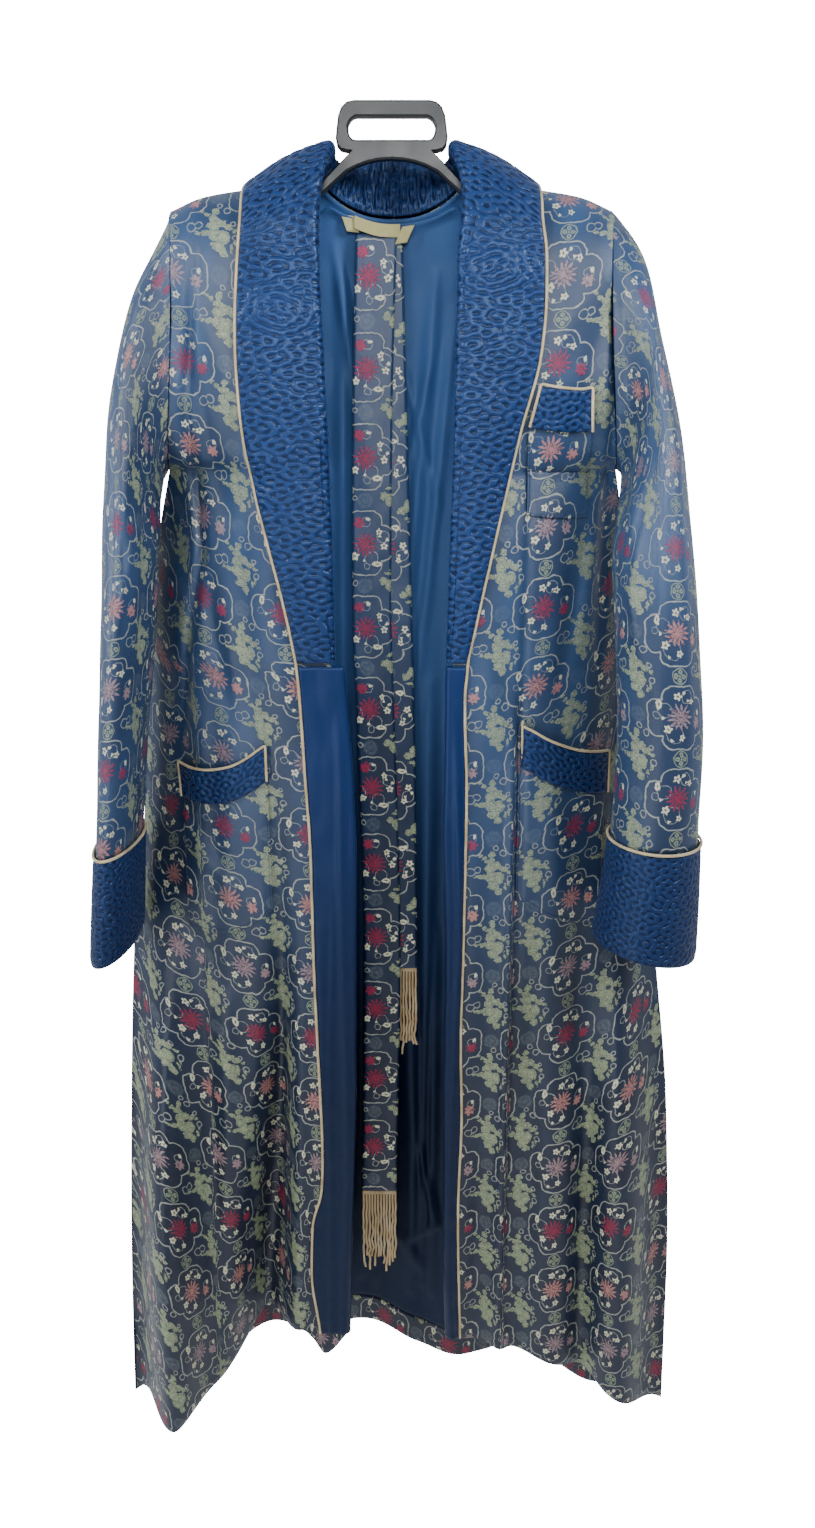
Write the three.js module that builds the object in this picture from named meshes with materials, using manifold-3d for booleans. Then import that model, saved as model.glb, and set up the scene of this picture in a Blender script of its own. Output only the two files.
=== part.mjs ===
// A brocade dressing gown with a quilted shawl collar, hanging open on a plastic hanger.
// Millimetres, +Z up. The front faces -Y, and "left" is -X, as seen from the front.
// Origin: inside the top of the hanger's loop, where a hook or peg holds it up.
// In the tables a "drop" is a distance below the origin and "out" is a distance from the
// middle plane, towards the piece's own side.

import * as THREE from "three";
import Module from "manifold-3d";
import { mergeVertices } from "three/addons/utils/BufferGeometryUtils.js";

// ---- Driving dimensions -------------------------------------------------------------
const BROCADE = 1.6; // wall of brocade with its interlining
const SATIN = 1.2; // wall of plain satin
const QUILT = 3.0; // wall of padded, quilted satin
const QUILT_RISE = 0.9; // how far the quilting stands up from the wall
const SEAM = 0.4; // gap between neighbouring pieces
const LAY = 1; // gap under a piece that lies on a panel
const ARMHOLE_GAP = 1.8; // between the armhole's edge and the sleeve
const PIPING = 1.5; // radius of the corded edge
const SHOULDER_DROP = 74; // shoulder point
const SHOULDER_OUT = 190;
const UNDERARM_DROP = 292;
const UNDERARM_OUT = 204;
const UNDERARM_Y = 5;
const NECK_OUT = 66; // where the shoulder seam meets the collar
const NECK_BACK_DROP = 73; // neck seam at the centre back
const NECK_BACK_Y = 43;
const ARMHOLE_DEEP = 46; // how far the armhole reaches forward and back
const ARMHOLE_DIP = 8; // the armhole's curve into the chest and the back
const TOP_LEVEL = 60; // level of the panels' top edge
const HEM_LEVEL = 1240; // level of the panels' hem
const BELT_WIDTH = 37;
const FRINGE_LENGTH = 92;

const COLOURS = {
  brocade: { color: 0x2c3f5f, roughness: 0.45 },
  satin: { color: 0x1b3a78, roughness: 0.3 },
  piping: { color: 0xd9c49a, roughness: 0.5 },
  fringe: { color: 0xcfae78, roughness: 0.6 },
  label: { color: 0xd8cf92, roughness: 0.6 },
  plastic: { color: 0x4a4d50, roughness: 0.35 },
};

// ---- Small helpers --------------------------------------------------------------------
const { lerp, clamp, smoothstep } = THREE.MathUtils;
const vec = (x, y, z) => new THREE.Vector3(x, y, z);
const spread = (count) => Array.from({ length: count + 1 }, (_, i) => i / count);

// A curve through one column of a table that never overshoots its rows.
function column(rows, along, name) {
  const x = rows.map((row) => row[along]);
  const y = rows.map((row) => row[name]);
  const last = x.length - 1;
  const slope = spread(last - 1).map((_, i) => (y[i + 1] - y[i]) / (x[i + 1] - x[i]));
  const tangent = x.map((_, i) => {
    if (i === 0) return slope[0];
    if (i === last) return slope[last - 1];
    const [a, b] = [slope[i - 1], slope[i]];
    return a * b <= 0 ? 0 : (2 * a * b) / (a + b);
  });
  return (at) => {
    let i = 0;
    while (i < last - 1 && at > x[i + 1]) i += 1;
    const span = x[i + 1] - x[i];
    const t = clamp((at - x[i]) / span, 0, 1);
    const h = t * t * (3 - 2 * t);
    return (
      lerp(y[i], y[i + 1], h) +
      span * (t * (1 - t) * (1 - t) * tangent[i] - t * t * (1 - t) * tangent[i + 1])
    );
  };
}

// A soft bump, 1 in the middle and 0 from one width away.
const bump = (offset, width) => {
  const q = Math.abs(offset / width);
  return q < 1 ? (1 + Math.cos(Math.PI * q)) / 2 : 0;
};

// A quarter round that reaches 1 at the given distance.
const round = (distance, reach) => {
  const q = clamp(1 - distance / reach, 0, 1);
  return Math.sqrt(1 - q * q);
};

function closedMesh(points, faces) {
  const geometry = new THREE.BufferGeometry();
  const flat = points.flatMap((p) => [p.x, p.y, p.z]);
  geometry.setAttribute("position", new THREE.Float32BufferAttribute(flat, 3));
  const volume = faces.reduce(
    (sum, [a, b, c]) => sum + points[a].dot(vec(0, 0, 0).crossVectors(points[b], points[c])),
    0,
  );
  const outward = volume < 0 ? faces.map(([a, b, c]) => [a, c, b]) : faces;
  geometry.setIndex(outward.flat());
  return geometry;
}

// A wall between a grid of outer points and the same grid moved in by the thickness.
// rows is a list of rows of points. tube joins each row's last point to its first.
// inward tells which way is in, as the sign of (along the row) x (to the next row).
// rise lifts the outer points only, for padding. trim may move an inner point at a seam.
function wall(rows, thickness, { tube = false, inward = 1, rise = null, trim = null } = {}) {
  const count = rows.length;
  const width = rows[0].length;
  const at = (i, j) => {
    const jj = tube ? (j + width) % width : clamp(j, 0, width - 1);
    return rows[clamp(i, 0, count - 1)][jj];
  };
  const outer = [];
  const inner = [];
  for (let i = 0; i < count; i += 1) {
    for (let j = 0; j < width; j += 1) {
      const along = at(i, j + 1).clone().sub(at(i, j - 1));
      const next = at(i + 1, j).clone().sub(at(i - 1, j));
      const normal = along.cross(next).normalize().multiplyScalar(inward);
      const lift = rise ? rise(i, j) : 0;
      outer.push(at(i, j).clone().addScaledVector(normal, -lift));
      const inside = at(i, j).clone().addScaledVector(normal, thickness);
      if (trim) trim(inside, at(i, j), i, j);
      inner.push(inside);
    }
  }
  const size = count * width;
  const id = (i, j, inside) => i * width + (j % width) + (inside ? size : 0);
  const faces = [];
  const quad = (a, b, c, d) => faces.push([a, b, c], [a, c, d]);
  const columns = tube ? width : width - 1;
  for (let j = 0; j < columns; j += 1) {
    for (let i = 0; i < count - 1; i += 1) {
      quad(id(i, j), id(i, j + 1), id(i + 1, j + 1), id(i + 1, j));
      quad(id(i, j, 1), id(i + 1, j, 1), id(i + 1, j + 1, 1), id(i, j + 1, 1));
    }
    quad(id(0, j), id(0, j, 1), id(0, j + 1, 1), id(0, j + 1));
    const end = count - 1;
    quad(id(end, j), id(end, j + 1), id(end, j + 1, 1), id(end, j, 1));
  }
  if (!tube) {
    const side = width - 1;
    for (let i = 0; i < count - 1; i += 1) {
      quad(id(i, 0), id(i + 1, 0), id(i + 1, 0, 1), id(i, 0, 1));
      quad(id(i, side), id(i, side, 1), id(i + 1, side, 1), id(i + 1, side));
    }
  }
  return closedMesh([...outer, ...inner], faces);
}

// A round cord along points, closed on itself if loop is true.
function cord(path, radius, sides, loop = false) {
  const count = path.length;
  const points = [];
  const faces = [];
  let normal = null;
  for (let i = 0; i < count; i += 1) {
    const before = loop ? path[(i + count - 1) % count] : path[Math.max(i - 1, 0)];
    const after = loop ? path[(i + 1) % count] : path[Math.min(i + 1, count - 1)];
    const tangent = after.clone().sub(before).normalize();
    if (!normal) normal = Math.abs(tangent.y) < 0.9 ? vec(0, 1, 0) : vec(1, 0, 0);
    normal = normal.clone().addScaledVector(tangent, -normal.dot(tangent)).normalize();
    const side = tangent.clone().cross(normal);
    for (let k = 0; k < sides; k += 1) {
      const turn = (2 * Math.PI * k) / sides;
      points.push(
        path[i]
          .clone()
          .addScaledVector(normal, radius * Math.cos(turn))
          .addScaledVector(side, radius * Math.sin(turn)),
      );
    }
  }
  const stretches = loop ? count : count - 1;
  for (let i = 0; i < stretches; i += 1) {
    for (let k = 0; k < sides; k += 1) {
      const [a, b] = [i * sides + k, i * sides + ((k + 1) % sides)];
      const [c, d] = [((i + 1) % count) * sides + k, ((i + 1) % count) * sides + ((k + 1) % sides)];
      faces.push([a, b, d], [a, d, c]);
    }
  }
  if (!loop) {
    const end = (count - 1) * sides;
    for (let k = 1; k < sides - 1; k += 1) {
      faces.push([0, k + 1, k], [end, end + k, end + k + 1]);
    }
  }
  return closedMesh(points, faces);
}

// ---- The body: one shape that the panels are cut from ---------------------------------
// Side seam below the underarm. y runs behind the sleeves, so the sleeves hang clear.
const SIDE_LEFT = [
  { drop: 292, out: 204, y: 5 },
  { drop: 340, out: 215, y: 24 },
  { drop: 404, out: 227, y: 32 },
  { drop: 500, out: 239, y: 35 },
  { drop: 640, out: 250, y: 33 },
  { drop: 760, out: 266, y: 26 },
  { drop: 928, out: 274, y: 6 },
  { drop: 1100, out: 281, y: -6 },
  { drop: 1271, out: 285, y: -12 },
];
const SIDE_RIGHT = [
  { drop: 292, out: 204, y: 5 },
  { drop: 404, out: 220, y: 20 },
  { drop: 500, out: 234, y: 26 },
  { drop: 640, out: 250, y: 26 },
  { drop: 760, out: 264, y: 16 },
  { drop: 928, out: 282, y: 0 },
  { drop: 1100, out: 289, y: -12 },
  { drop: 1270, out: 288, y: -25 },
];

// Front edge of each front, just inside the line where the collar and facing roll over it.
const EDGE_LEFT = [
  { drop: 47, out: 66, y: -30 },
  { drop: 75, out: 68, y: -38 },
  { drop: 112, out: 66, y: -42 },
  { drop: 192, out: 63, y: -47 },
  { drop: 275, out: 60.5, y: -49 },
  { drop: 361, out: 58, y: -49 },
  { drop: 462, out: 56.5, y: -47 },
  { drop: 478, out: 45.5, y: -46 },
  { drop: 577, out: 39, y: -42 },
  { drop: 745, out: 39, y: -36 },
  { drop: 969, out: 43, y: -28 },
  { drop: 1119, out: 49, y: -24 },
  { drop: 1240, out: 50.5, y: -20 },
];
const EDGE_RIGHT = [
  { drop: 47, out: 66, y: -30 },
  { drop: 75, out: 68, y: -38 },
  { drop: 112, out: 64, y: -42 },
  { drop: 192, out: 60, y: -47 },
  { drop: 275, out: 58, y: -49 },
  { drop: 361, out: 56, y: -49 },
  { drop: 462, out: 53, y: -47 },
  { drop: 478, out: 50.5, y: -46 },
  { drop: 592, out: 50, y: -44 },
  { drop: 745, out: 53, y: -40 },
  { drop: 969, out: 53, y: -32 },
  { drop: 1136, out: 55, y: -24 },
  { drop: 1240, out: 57, y: -16 },
];

// Folds of the fronts. depth is towards the back, so a ridge that comes forward is below 0.
const FOLDS_LEFT = [
  { name: "side_sweep", outTop: 232, outHem: 226, from: 640, widthTop: 34, widthHem: 56, depth: -78 },
  { name: "deep_pleat", outTop: 98, outHem: 141, from: 600, widthTop: 16, widthHem: 44, depth: 46 },
  { name: "pleat_lip", outTop: 92, outHem: 112, from: 640, widthTop: 14, widthHem: 26, depth: -9 },
  { name: "mid_ridge", outTop: 166, outHem: 186, from: 660, widthTop: 26, widthHem: 32, depth: -12 },
  { name: "chest_drag", outTop: 150, outHem: 196, from: 130, widthTop: 20, widthHem: 18, depth: 5 },
];
const FOLDS_RIGHT = [
  { name: "side_sweep", outTop: 226, outHem: 234, from: 620, widthTop: 34, widthHem: 54, depth: -46 },
  { name: "mid_ridge", outTop: 160, outHem: 168, from: 640, widthTop: 30, widthHem: 44, depth: -19 },
  { name: "between", outTop: 190, outHem: 201, from: 700, widthTop: 14, widthHem: 22, depth: 10 },
  { name: "pressed_fold", outTop: 114, outHem: 112, from: 250, widthTop: 10, widthHem: 14, depth: -7 },
  { name: "edge_hollow", outTop: 88, outHem: 86, from: 620, widthTop: 16, widthHem: 22, depth: 6 },
];
const FOLDS_BACK = [
  { name: "left_side", outTop: -196, outHem: -214, from: 420, widthTop: 34, widthHem: 52, depth: -26 },
  { name: "left_ridge", outTop: -140, outHem: -146, from: 340, widthTop: 32, widthHem: 46, depth: 20 },
  { name: "left_hollow", outTop: -82, outHem: -84, from: 560, widthTop: 30, widthHem: 38, depth: -13 },
  { name: "centre_ridge", outTop: -10, outHem: -20, from: 700, widthTop: 34, widthHem: 46, depth: 8 },
  { name: "right_hollow", outTop: 64, outHem: 66, from: 520, widthTop: 30, widthHem: 40, depth: -11 },
  { name: "right_ridge", outTop: 130, outHem: 142, from: 330, widthTop: 30, widthHem: 48, depth: 21 },
  { name: "right_side", outTop: 196, outHem: 214, from: 440, widthTop: 34, widthHem: 50, depth: -27 },
];

const HEM_LEFT = [
  { out: 50, drop: 1192 },
  { out: 75, drop: 1218 },
  { out: 87, drop: 1200 },
  { out: 100, drop: 1185 },
  { out: 140, drop: 1190 },
  { out: 154, drop: 1208 },
  { out: 175, drop: 1228 },
  { out: 206, drop: 1240 },
  { out: 228, drop: 1253 },
  { out: 257, drop: 1252 },
  { out: 285, drop: 1271 },
];
const HEM_RIGHT = [
  { out: 56, drop: 1200 },
  { out: 106, drop: 1209 },
  { out: 148, drop: 1215 },
  { out: 193, drop: 1226 },
  { out: 232, drop: 1241 },
  { out: 288, drop: 1270 },
];
const HEM_BACK = [
  { out: -285, drop: 1271 },
  { out: -150, drop: 1252 },
  { out: -51, drop: 1240 },
  { out: 39, drop: 1272 },
  { out: 90, drop: 1279 },
  { out: 288, drop: 1270 },
];
const SHOULDER_LINE = [
  { out: 60, drop: 46.5 },
  { out: 66, drop: 47 },
  { out: 122, drop: 56 },
  { out: 162, drop: 62.5 },
  { out: 190, drop: 74 },
];
const BACK_LINE = [
  { drop: 73, y: 46 },
  { drop: 160, y: 53 },
  { drop: 300, y: 55 },
  { drop: 700, y: 57 },
  { drop: 1000, y: 60 },
  { drop: 1280, y: 62 },
];

const shoulderDrop = column(SHOULDER_LINE, "out", "drop");
const backLine = column(BACK_LINE, "drop", "y");
const SHOULDER_ROUND = 62; // depth over which the cloth turns down from the shoulder seam

// Where the armhole edge is at a drop. face is -1 for the front and 1 for the back.
function armhole(drop, face) {
  const w = clamp((drop - SHOULDER_DROP) / (UNDERARM_DROP - SHOULDER_DROP), 0, 1);
  const out = lerp(SHOULDER_OUT, UNDERARM_OUT, w) - ARMHOLE_DIP * 2 * Math.sqrt(w * (1 - w));
  const open = round(UNDERARM_DROP - drop, 80);
  return { out, y: lerp(UNDERARM_Y, face * ARMHOLE_DEEP, open) };
}

function foldDepth(folds, out, level) {
  return folds.reduce((sum, fold) => {
    const w = clamp((level - fold.from) / (HEM_LEVEL - fold.from), 0, 1);
    const centre = lerp(fold.outTop, fold.outHem, w);
    const width = lerp(fold.widthTop, fold.widthHem, w);
    return sum + fold.depth * smoothstep(w, -0.08, 0.85) * Math.sign(w) * bump(out - centre, width);
  }, 0);
}

// A panel is a function of across (0 to 1) and level (TOP_LEVEL to HEM_LEVEL).
// Pieces that lie on it are made from the points of its own grid, moved out.
function makePanel(shape) {
  const { sign, face, outFrom, outTo, fromY, toY, squareness, top, hem, folds, columns, rows } = shape;
  const hemDrop = column(hem, "out", "drop");
  const place = (across, level) => {
    const out = lerp(outFrom(level), outTo(level), across);
    const topShift = (top(out).drop - TOP_LEVEL) * clamp(1 - (level - TOP_LEVEL) / 130, 0, 1);
    const hemShift = (hemDrop(out) - HEM_LEVEL) * smoothstep(level, 700, HEM_LEVEL);
    const drop = level + topShift + hemShift;
    const ease = squareness(across, level);
    const flat = lerp(fromY(drop), toY(drop), ease);
    const start = top(out);
    const turned = lerp(start.y, flat, round(drop - start.drop, SHOULDER_ROUND));
    return vec(sign * out, turned + foldDepth(folds, out, level), -drop);
  };
  const normal = (across, level) => {
    const step = 0.004;
    const a = clamp(across, step, 1 - step);
    const l = Math.max(level, TOP_LEVEL + 2);
    const du = place(a + step, l).sub(place(a - step, l));
    const dv = place(a, l + 2).sub(place(a, l - 2));
    const n = du.cross(dv).normalize();
    return n.y * face < 0 ? n.negate() : n;
  };
  const across = spread(columns);
  const grid = rows.map((level) => across.map((u) => place(u, level)));
  // A point on the grid's own flat triangles.
  const faceted = (u, level) => {
    const j = Math.min(Math.floor(u * columns), columns - 1);
    const i = clamp(rows.findIndex((row) => row > level) - 1, 0, rows.length - 2);
    const below = level >= rows[rows.length - 1] ? rows.length - 2 : i;
    const fu = u * columns - j;
    const fv = (level - rows[below]) / (rows[below + 1] - rows[below]);
    const [a, b] = [grid[below][j], grid[below][j + 1]];
    const [d, c] = [grid[below + 1][j], grid[below + 1][j + 1]];
    const point = a.clone();
    if (fu > fv) return point.addScaledVector(b.clone().sub(a), fu).addScaledVector(c.clone().sub(b), fv);
    return point.addScaledVector(d.clone().sub(a), fv).addScaledVector(c.clone().sub(d), fu);
  };
  // The panel's point at a distance out and a drop, moved out by lift.
  const on = (out, drop, lift) => {
    let level = drop;
    let u = 0.5;
    for (let pass = 0; pass < 14; pass += 1) {
      const here = faceted(u, level);
      const width = outTo(level) - outFrom(level);
      u = clamp(u + (out - sign * here.x) / width, 0, 1);
      level = clamp(level + drop + here.z, TOP_LEVEL, HEM_LEVEL);
    }
    return faceted(u, level).addScaledVector(normal(u, level), lift);
  };
  // Which way is in, for wall(), on rows that run down the panel.
  const inward = -face * Math.sign(grid[0][1].x - grid[0][0].x);
  return { place, normal, on, face, sign, inward, grid, across, rows };
}

// Levels of a panel's rows, closer together over the shoulder.
const levels = (from, to, count) => spread(count).map((t) => lerp(from, to, t ** 1.25));
const FRONT_COLUMNS = 15;
const BACK_COLUMNS = 22;
const LINING_HEM = 1208; // level where the lining stops above the turned-up hem
const QUILT_END = 465; // level where the quilted collar ends and the plain facing starts
const ROWS = [...levels(TOP_LEVEL, QUILT_END, 10), ...levels(QUILT_END, LINING_HEM, 10).slice(1), HEM_LEVEL];

const SET_BACK = 2.2; // of the brocade's edge inside the rolled collar and facing

function makeFront(sign, side, edge, hem, folds) {
  const edgeOut = column(edge, "drop", "out");
  const sideOut = column(side, "drop", "out");
  const sideY = column(side, "drop", "y");
  return makePanel({
    sign,
    face: -1,
    outFrom: (drop) => (drop < UNDERARM_DROP ? armhole(drop, -1).out : sideOut(drop)),
    outTo: (drop) => edgeOut(drop) + SET_BACK,
    fromY: (drop) => (drop < UNDERARM_DROP ? armhole(drop, -1).y : sideY(drop)) - SEAM,
    toY: column(edge, "drop", "y"),
    squareness: (across, level) => 1 - (1 - across) ** (1 + 2.4 * smoothstep(level, 230, 420)),
    top: (out) => ({ drop: shoulderDrop(out), y: -SEAM / 2 }),
    hem,
    folds,
    columns: FRONT_COLUMNS,
    rows: ROWS,
  });
}

const frontLeft = makeFront(-1, SIDE_LEFT, EDGE_LEFT, HEM_LEFT, FOLDS_LEFT);
const frontRight = makeFront(1, SIDE_RIGHT, EDGE_RIGHT, HEM_RIGHT, FOLDS_RIGHT);

// The back runs from the left side seam to the right one in one piece.
function makeBack() {
  const leftOut = column(SIDE_LEFT, "drop", "out");
  const rightOut = column(SIDE_RIGHT, "drop", "out");
  const leftY = column(SIDE_LEFT, "drop", "y");
  const rightY = column(SIDE_RIGHT, "drop", "y");
  const edgeOut = (seam) => (drop) => (drop < UNDERARM_DROP ? armhole(drop, 1).out : seam(drop));
  const edgeY = (drop) => {
    if (drop < UNDERARM_DROP) return armhole(drop, 1).y + SEAM / 2;
    return (leftY(drop) + rightY(drop)) / 2 + SEAM / 2;
  };
  const neck = (out) => {
    const q = clamp(Math.abs(out) / NECK_OUT, 0, 1);
    if (q >= 1) return { drop: shoulderDrop(Math.abs(out)), y: SEAM / 2 };
    const drop = lerp(NECK_BACK_DROP, shoulderDrop(NECK_OUT), q ** 2.4);
    return { drop, y: lerp(SEAM / 2, NECK_BACK_Y, Math.sqrt(1 - q ** 2.2)) };
  };
  const lean = (drop) => (drop < UNDERARM_DROP ? 0 : (rightY(drop) - leftY(drop)) / 2);
  return makePanel({
    sign: 1,
    face: 1,
    outFrom: (drop) => -edgeOut(leftOut)(drop),
    outTo: edgeOut(rightOut),
    fromY: edgeY,
    toY: backLine,
    squareness: (across, level) => {
      const q = Math.abs(2 * across - 1);
      const flat = 1 - q ** (2 + 1.6 * smoothstep(level, 230, 420));
      const tilt = lean(level) * Math.sign(across - 0.5) * q ** 6;
      return flat + tilt / (backLine(level) - edgeY(level));
    },
    top: neck,
    hem: HEM_BACK,
    folds: FOLDS_BACK,
    columns: BACK_COLUMNS,
    rows: ROWS,
  });
}
const back = makeBack();

// The whole panel as a wall. Its inner edge is mitred where it meets its neighbour.
function panelWall(panel, seamColumns) {
  const { face } = panel;
  const trim = (inside, outside, i, j) => {
    const atSide = seamColumns.includes(j) && panel.rows[i] > UNDERARM_DROP - 20;
    if (i > 0 && !atSide) return;
    inside.y = face < 0 ? Math.min(inside.y, outside.y) : Math.max(inside.y, outside.y);
  };
  return wall(panel.grid, BROCADE, { inward: panel.inward, trim });
}

// A wall on the panel's inner side, made from some of its columns and rows.
function backingWall(panel, fromColumn, toColumn, fromRow, toRow, thickness) {
  const shift = -(BROCADE + SEAM);
  const grid = panel.rows.slice(fromRow, toRow + 1).map((level) =>
    panel.across.slice(fromColumn, toColumn + 1).map((u) =>
      panel.place(u, level).addScaledVector(panel.normal(u, level), shift),
    ),
  );
  grid[0].forEach((point) => {
    point.z -= 2 * SEAM;
  });
  return wall(grid, thickness, { inward: panel.inward });
}

// ---- Collar and facings, which roll over the front edges -------------------------------
// Quilted part of the collar on the fronts: roll line and outer edge.
const COLLAR_FRONT_LEFT = [
  { drop: 462, roll: 52.2, edge: 86.5 },
  { drop: 413, roll: 53, edge: 95.8 },
  { drop: 361, roll: 53.6, edge: 107.6 },
  { drop: 317, roll: 54.5, edge: 117.6 },
  { drop: 258, roll: 56.2, edge: 127.9 },
  { drop: 193, roll: 58.6, edge: 132.1 },
  { drop: 150, roll: 60.3, edge: 130.5 },
  { drop: 112, roll: 61.4, edge: 127.5 },
];
const COLLAR_FRONT_RIGHT = [
  { drop: 462, roll: 48.6, edge: 67.0 },
  { drop: 413, roll: 50, edge: 77 },
  { drop: 361, roll: 51.6, edge: 88 },
  { drop: 317, roll: 52.6, edge: 97 },
  { drop: 258, roll: 54, edge: 110 },
  { drop: 193, roll: 55.2, edge: 126.8 },
  { drop: 150, roll: 55.8, edge: 129.5 },
  { drop: 112, roll: 56.2, edge: 128.5 },
];
// Round the neck: neck seam (inner), roll line and outer edge. The edge lies on a panel.
const COLLAR_NECK = [
  {
    name: "bend", inner: { out: 63.5, y: -16, drop: 70 }, roll: { out: 60, y: -32, drop: 64 },
    edge: { out: 125.5, drop: 92 }, on: "front",
  },
  {
    name: "side_front", inner: { out: 63, y: -4, drop: 45 }, roll: { out: 54, y: -18, drop: 34 },
    edge: { out: 124.5, drop: 68 }, on: "front",
  },
  {
    name: "side", inner: { out: 63, y: 3, drop: 44.5 }, roll: { out: 50, y: -3, drop: 21 },
    edge: { out: 123.5, drop: 51 }, on: "seam",
  },
  {
    name: "side_back", inner: { out: 59, y: 16, drop: 49.5 }, roll: { out: 51, y: 19, drop: 29 },
    edge: { out: 115, drop: 72 }, on: "back",
  },
  {
    name: "back_quarter", inner: { out: 42, y: 31, drop: 61.5 }, roll: { out: 41, y: 38, drop: 33 },
    edge: { out: 82, drop: 96 }, on: "back",
  },
  {
    name: "near_centre", inner: { out: 20, y: 38.5, drop: 69.5 }, roll: { out: 20, y: 46, drop: 24 },
    edge: { out: 42, drop: 107 }, on: "back",
  },
  {
    name: "centre_back", inner: { out: SEAM, y: 40.5, drop: 71.4 },
    roll: { out: SEAM, y: 48, drop: 17 }, edge: { out: SEAM, drop: 111 }, on: "back",
  },
];
// Plain satin facing, turned out below the quilting.
const FACING_LEFT = [
  { drop: 466, roll: 44, edge: 85.8 },
  { drop: 497, roll: 42, edge: 83.7 },
  { drop: 577, roll: 37, edge: 80 },
  { drop: 640, roll: 36.5, edge: 77 },
  { drop: 745, roll: 37, edge: 76 },
  { drop: 854, roll: 38.5, edge: 73.6 },
  { drop: 969, roll: 41, edge: 71.6 },
  { drop: 1016, roll: 42.5, edge: 73.4 },
  { drop: 1058, roll: 44.5, edge: 83.4 },
  { drop: 1119, roll: 47, edge: 85.6 },
  { drop: 1180, roll: 48.3, edge: 79 },
  { drop: 1191, roll: 48.5, edge: 78 },
];
const FACING_RIGHT = [
  { drop: 466, roll: 48.5, edge: 66.6 },
  { drop: 496, roll: 48, edge: 64.4 },
  { drop: 592, roll: 47.8, edge: 67 },
  { drop: 745, roll: 50.8, edge: 66 },
  { drop: 836, roll: 50.6, edge: 64.4 },
  { drop: 932, roll: 51, edge: 66.4 },
  { drop: 1034, roll: 51.5, edge: 64 },
  { drop: 1136, roll: 53, edge: 66 },
  { drop: 1199, roll: 55, edge: 67.8 },
];
const TURN_SEGMENTS = 3; // round the roll line
const TUCK = 11; // how far the collar and facing reach behind the front edge

// One section: up the inside from inner, round the roll, and down to the outer edge.
function section(inner, roll, radius, fallSteps, fall) {
  const first = fall(0);
  const last = fall(1);
  const up = roll.clone().sub(inner.clone().add(last).multiplyScalar(0.5)).normalize();
  const across = last.clone().sub(inner);
  const outwards = across.addScaledVector(up, -across.dot(up)).normalize();
  const centre = roll.clone().addScaledVector(up, -radius);
  const points = [inner.clone()];
  for (let k = 0; k <= TURN_SEGMENTS; k += 1) {
    const turn = Math.PI * (k / TURN_SEGMENTS - 0.5);
    points.push(
      centre
        .clone()
        .addScaledVector(up, radius * Math.cos(turn))
        .addScaledVector(outwards, radius * Math.sin(turn)),
    );
  }
  const shift = points[points.length - 1].clone().sub(first);
  for (let k = 1; k <= fallSteps; k += 1) {
    const c = k / fallSteps;
    points.push(fall(c).addScaledVector(shift, (1 - c) ** 2));
  }
  return points;
}

// A section of what is rolled over the front edge, at a drop.
function frontSection(panel, row, thickness, radius, fallSteps, ease, loft) {
  const lift = thickness + LAY + ease;
  const rollY = panel.on(row.roll + radius, row.drop, -BROCADE / 2).y;
  const at = (out, y) => vec(panel.sign * out, y, -row.drop);
  const fall = (c) => {
    const out = lerp(row.roll + radius, row.edge, c);
    return panel.on(out, row.drop, lift + loft * Math.sin(Math.PI * c));
  };
  return section(at(row.roll + TUCK, rollY + radius), at(row.roll, rollY), radius, fallSteps, fall);
}

// Runs a smooth grid through a list of sections.
function throughSections(sections, count) {
  const curves = sections[0].map(
    (_, j) => new THREE.CatmullRomCurve3(sections.map((row) => row[j]), false, "centripetal"),
  );
  return spread(count).map((t) => curves.map((curve) => curve.getPoint(t)));
}

const COLLAR_ROLL = 6;
const COLLAR_EASE = 1.4; // how far the padded collar stands off the fronts
const NECK_EASE = 4; // and off the shoulders
const FACING_ROLL = 3.4;
const COLLAR_FALL_STEPS = 5;
const COLLAR_ROWS = 34;
const FACING_FALL_STEPS = 3;
const FACING_ROWS = 18;

function collarEdge(sign, row, lift) {
  const front = sign < 0 ? frontLeft : frontRight;
  if (row.on === "front") return front.on(row.edge.out, row.edge.drop, lift);
  if (row.on === "back") return back.on(sign * row.edge.out, row.edge.drop, lift);
  return vec(sign * row.edge.out, 0, -row.edge.drop);
}

function collarSections(sign, frontRows) {
  const front = sign < 0 ? frontLeft : frontRight;
  const onFront = frontRows.map((row) =>
    frontSection(front, row, QUILT, COLLAR_ROLL, COLLAR_FALL_STEPS, COLLAR_EASE, 2),
  );
  const roundNeck = COLLAR_NECK.map((row) => {
    const place = ({ out, y, drop }) => vec(sign * out, y, -drop);
    const edge = collarEdge(sign, row, QUILT + LAY + NECK_EASE);
    const roll = place(row.roll);
    const fall = (c) => {
      const puff = 5 * Math.sin(Math.PI * c);
      const p = roll.clone().lerp(edge, c);
      p.y += row.on === "back" ? puff : row.on === "front" ? -puff : 0;
      p.z += row.on === "seam" ? puff : puff * 0.3;
      return p;
    };
    return section(place(row.inner), roll, COLLAR_ROLL, COLLAR_FALL_STEPS, fall);
  });
  return [...onFront, ...roundNeck];
}

// Wandering quilting lines, as a height from 0 to 1 at a place along and across.
function quiltRelief(i, j) {
  const wander = Math.sin(1.9 * i + 1.1 * Math.sin(2.3 * j)) + Math.sin(2.6 * j + 1.4 * Math.sin(1.7 * i));
  return QUILT_RISE * (0.5 + 0.25 * wander);
}

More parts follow.
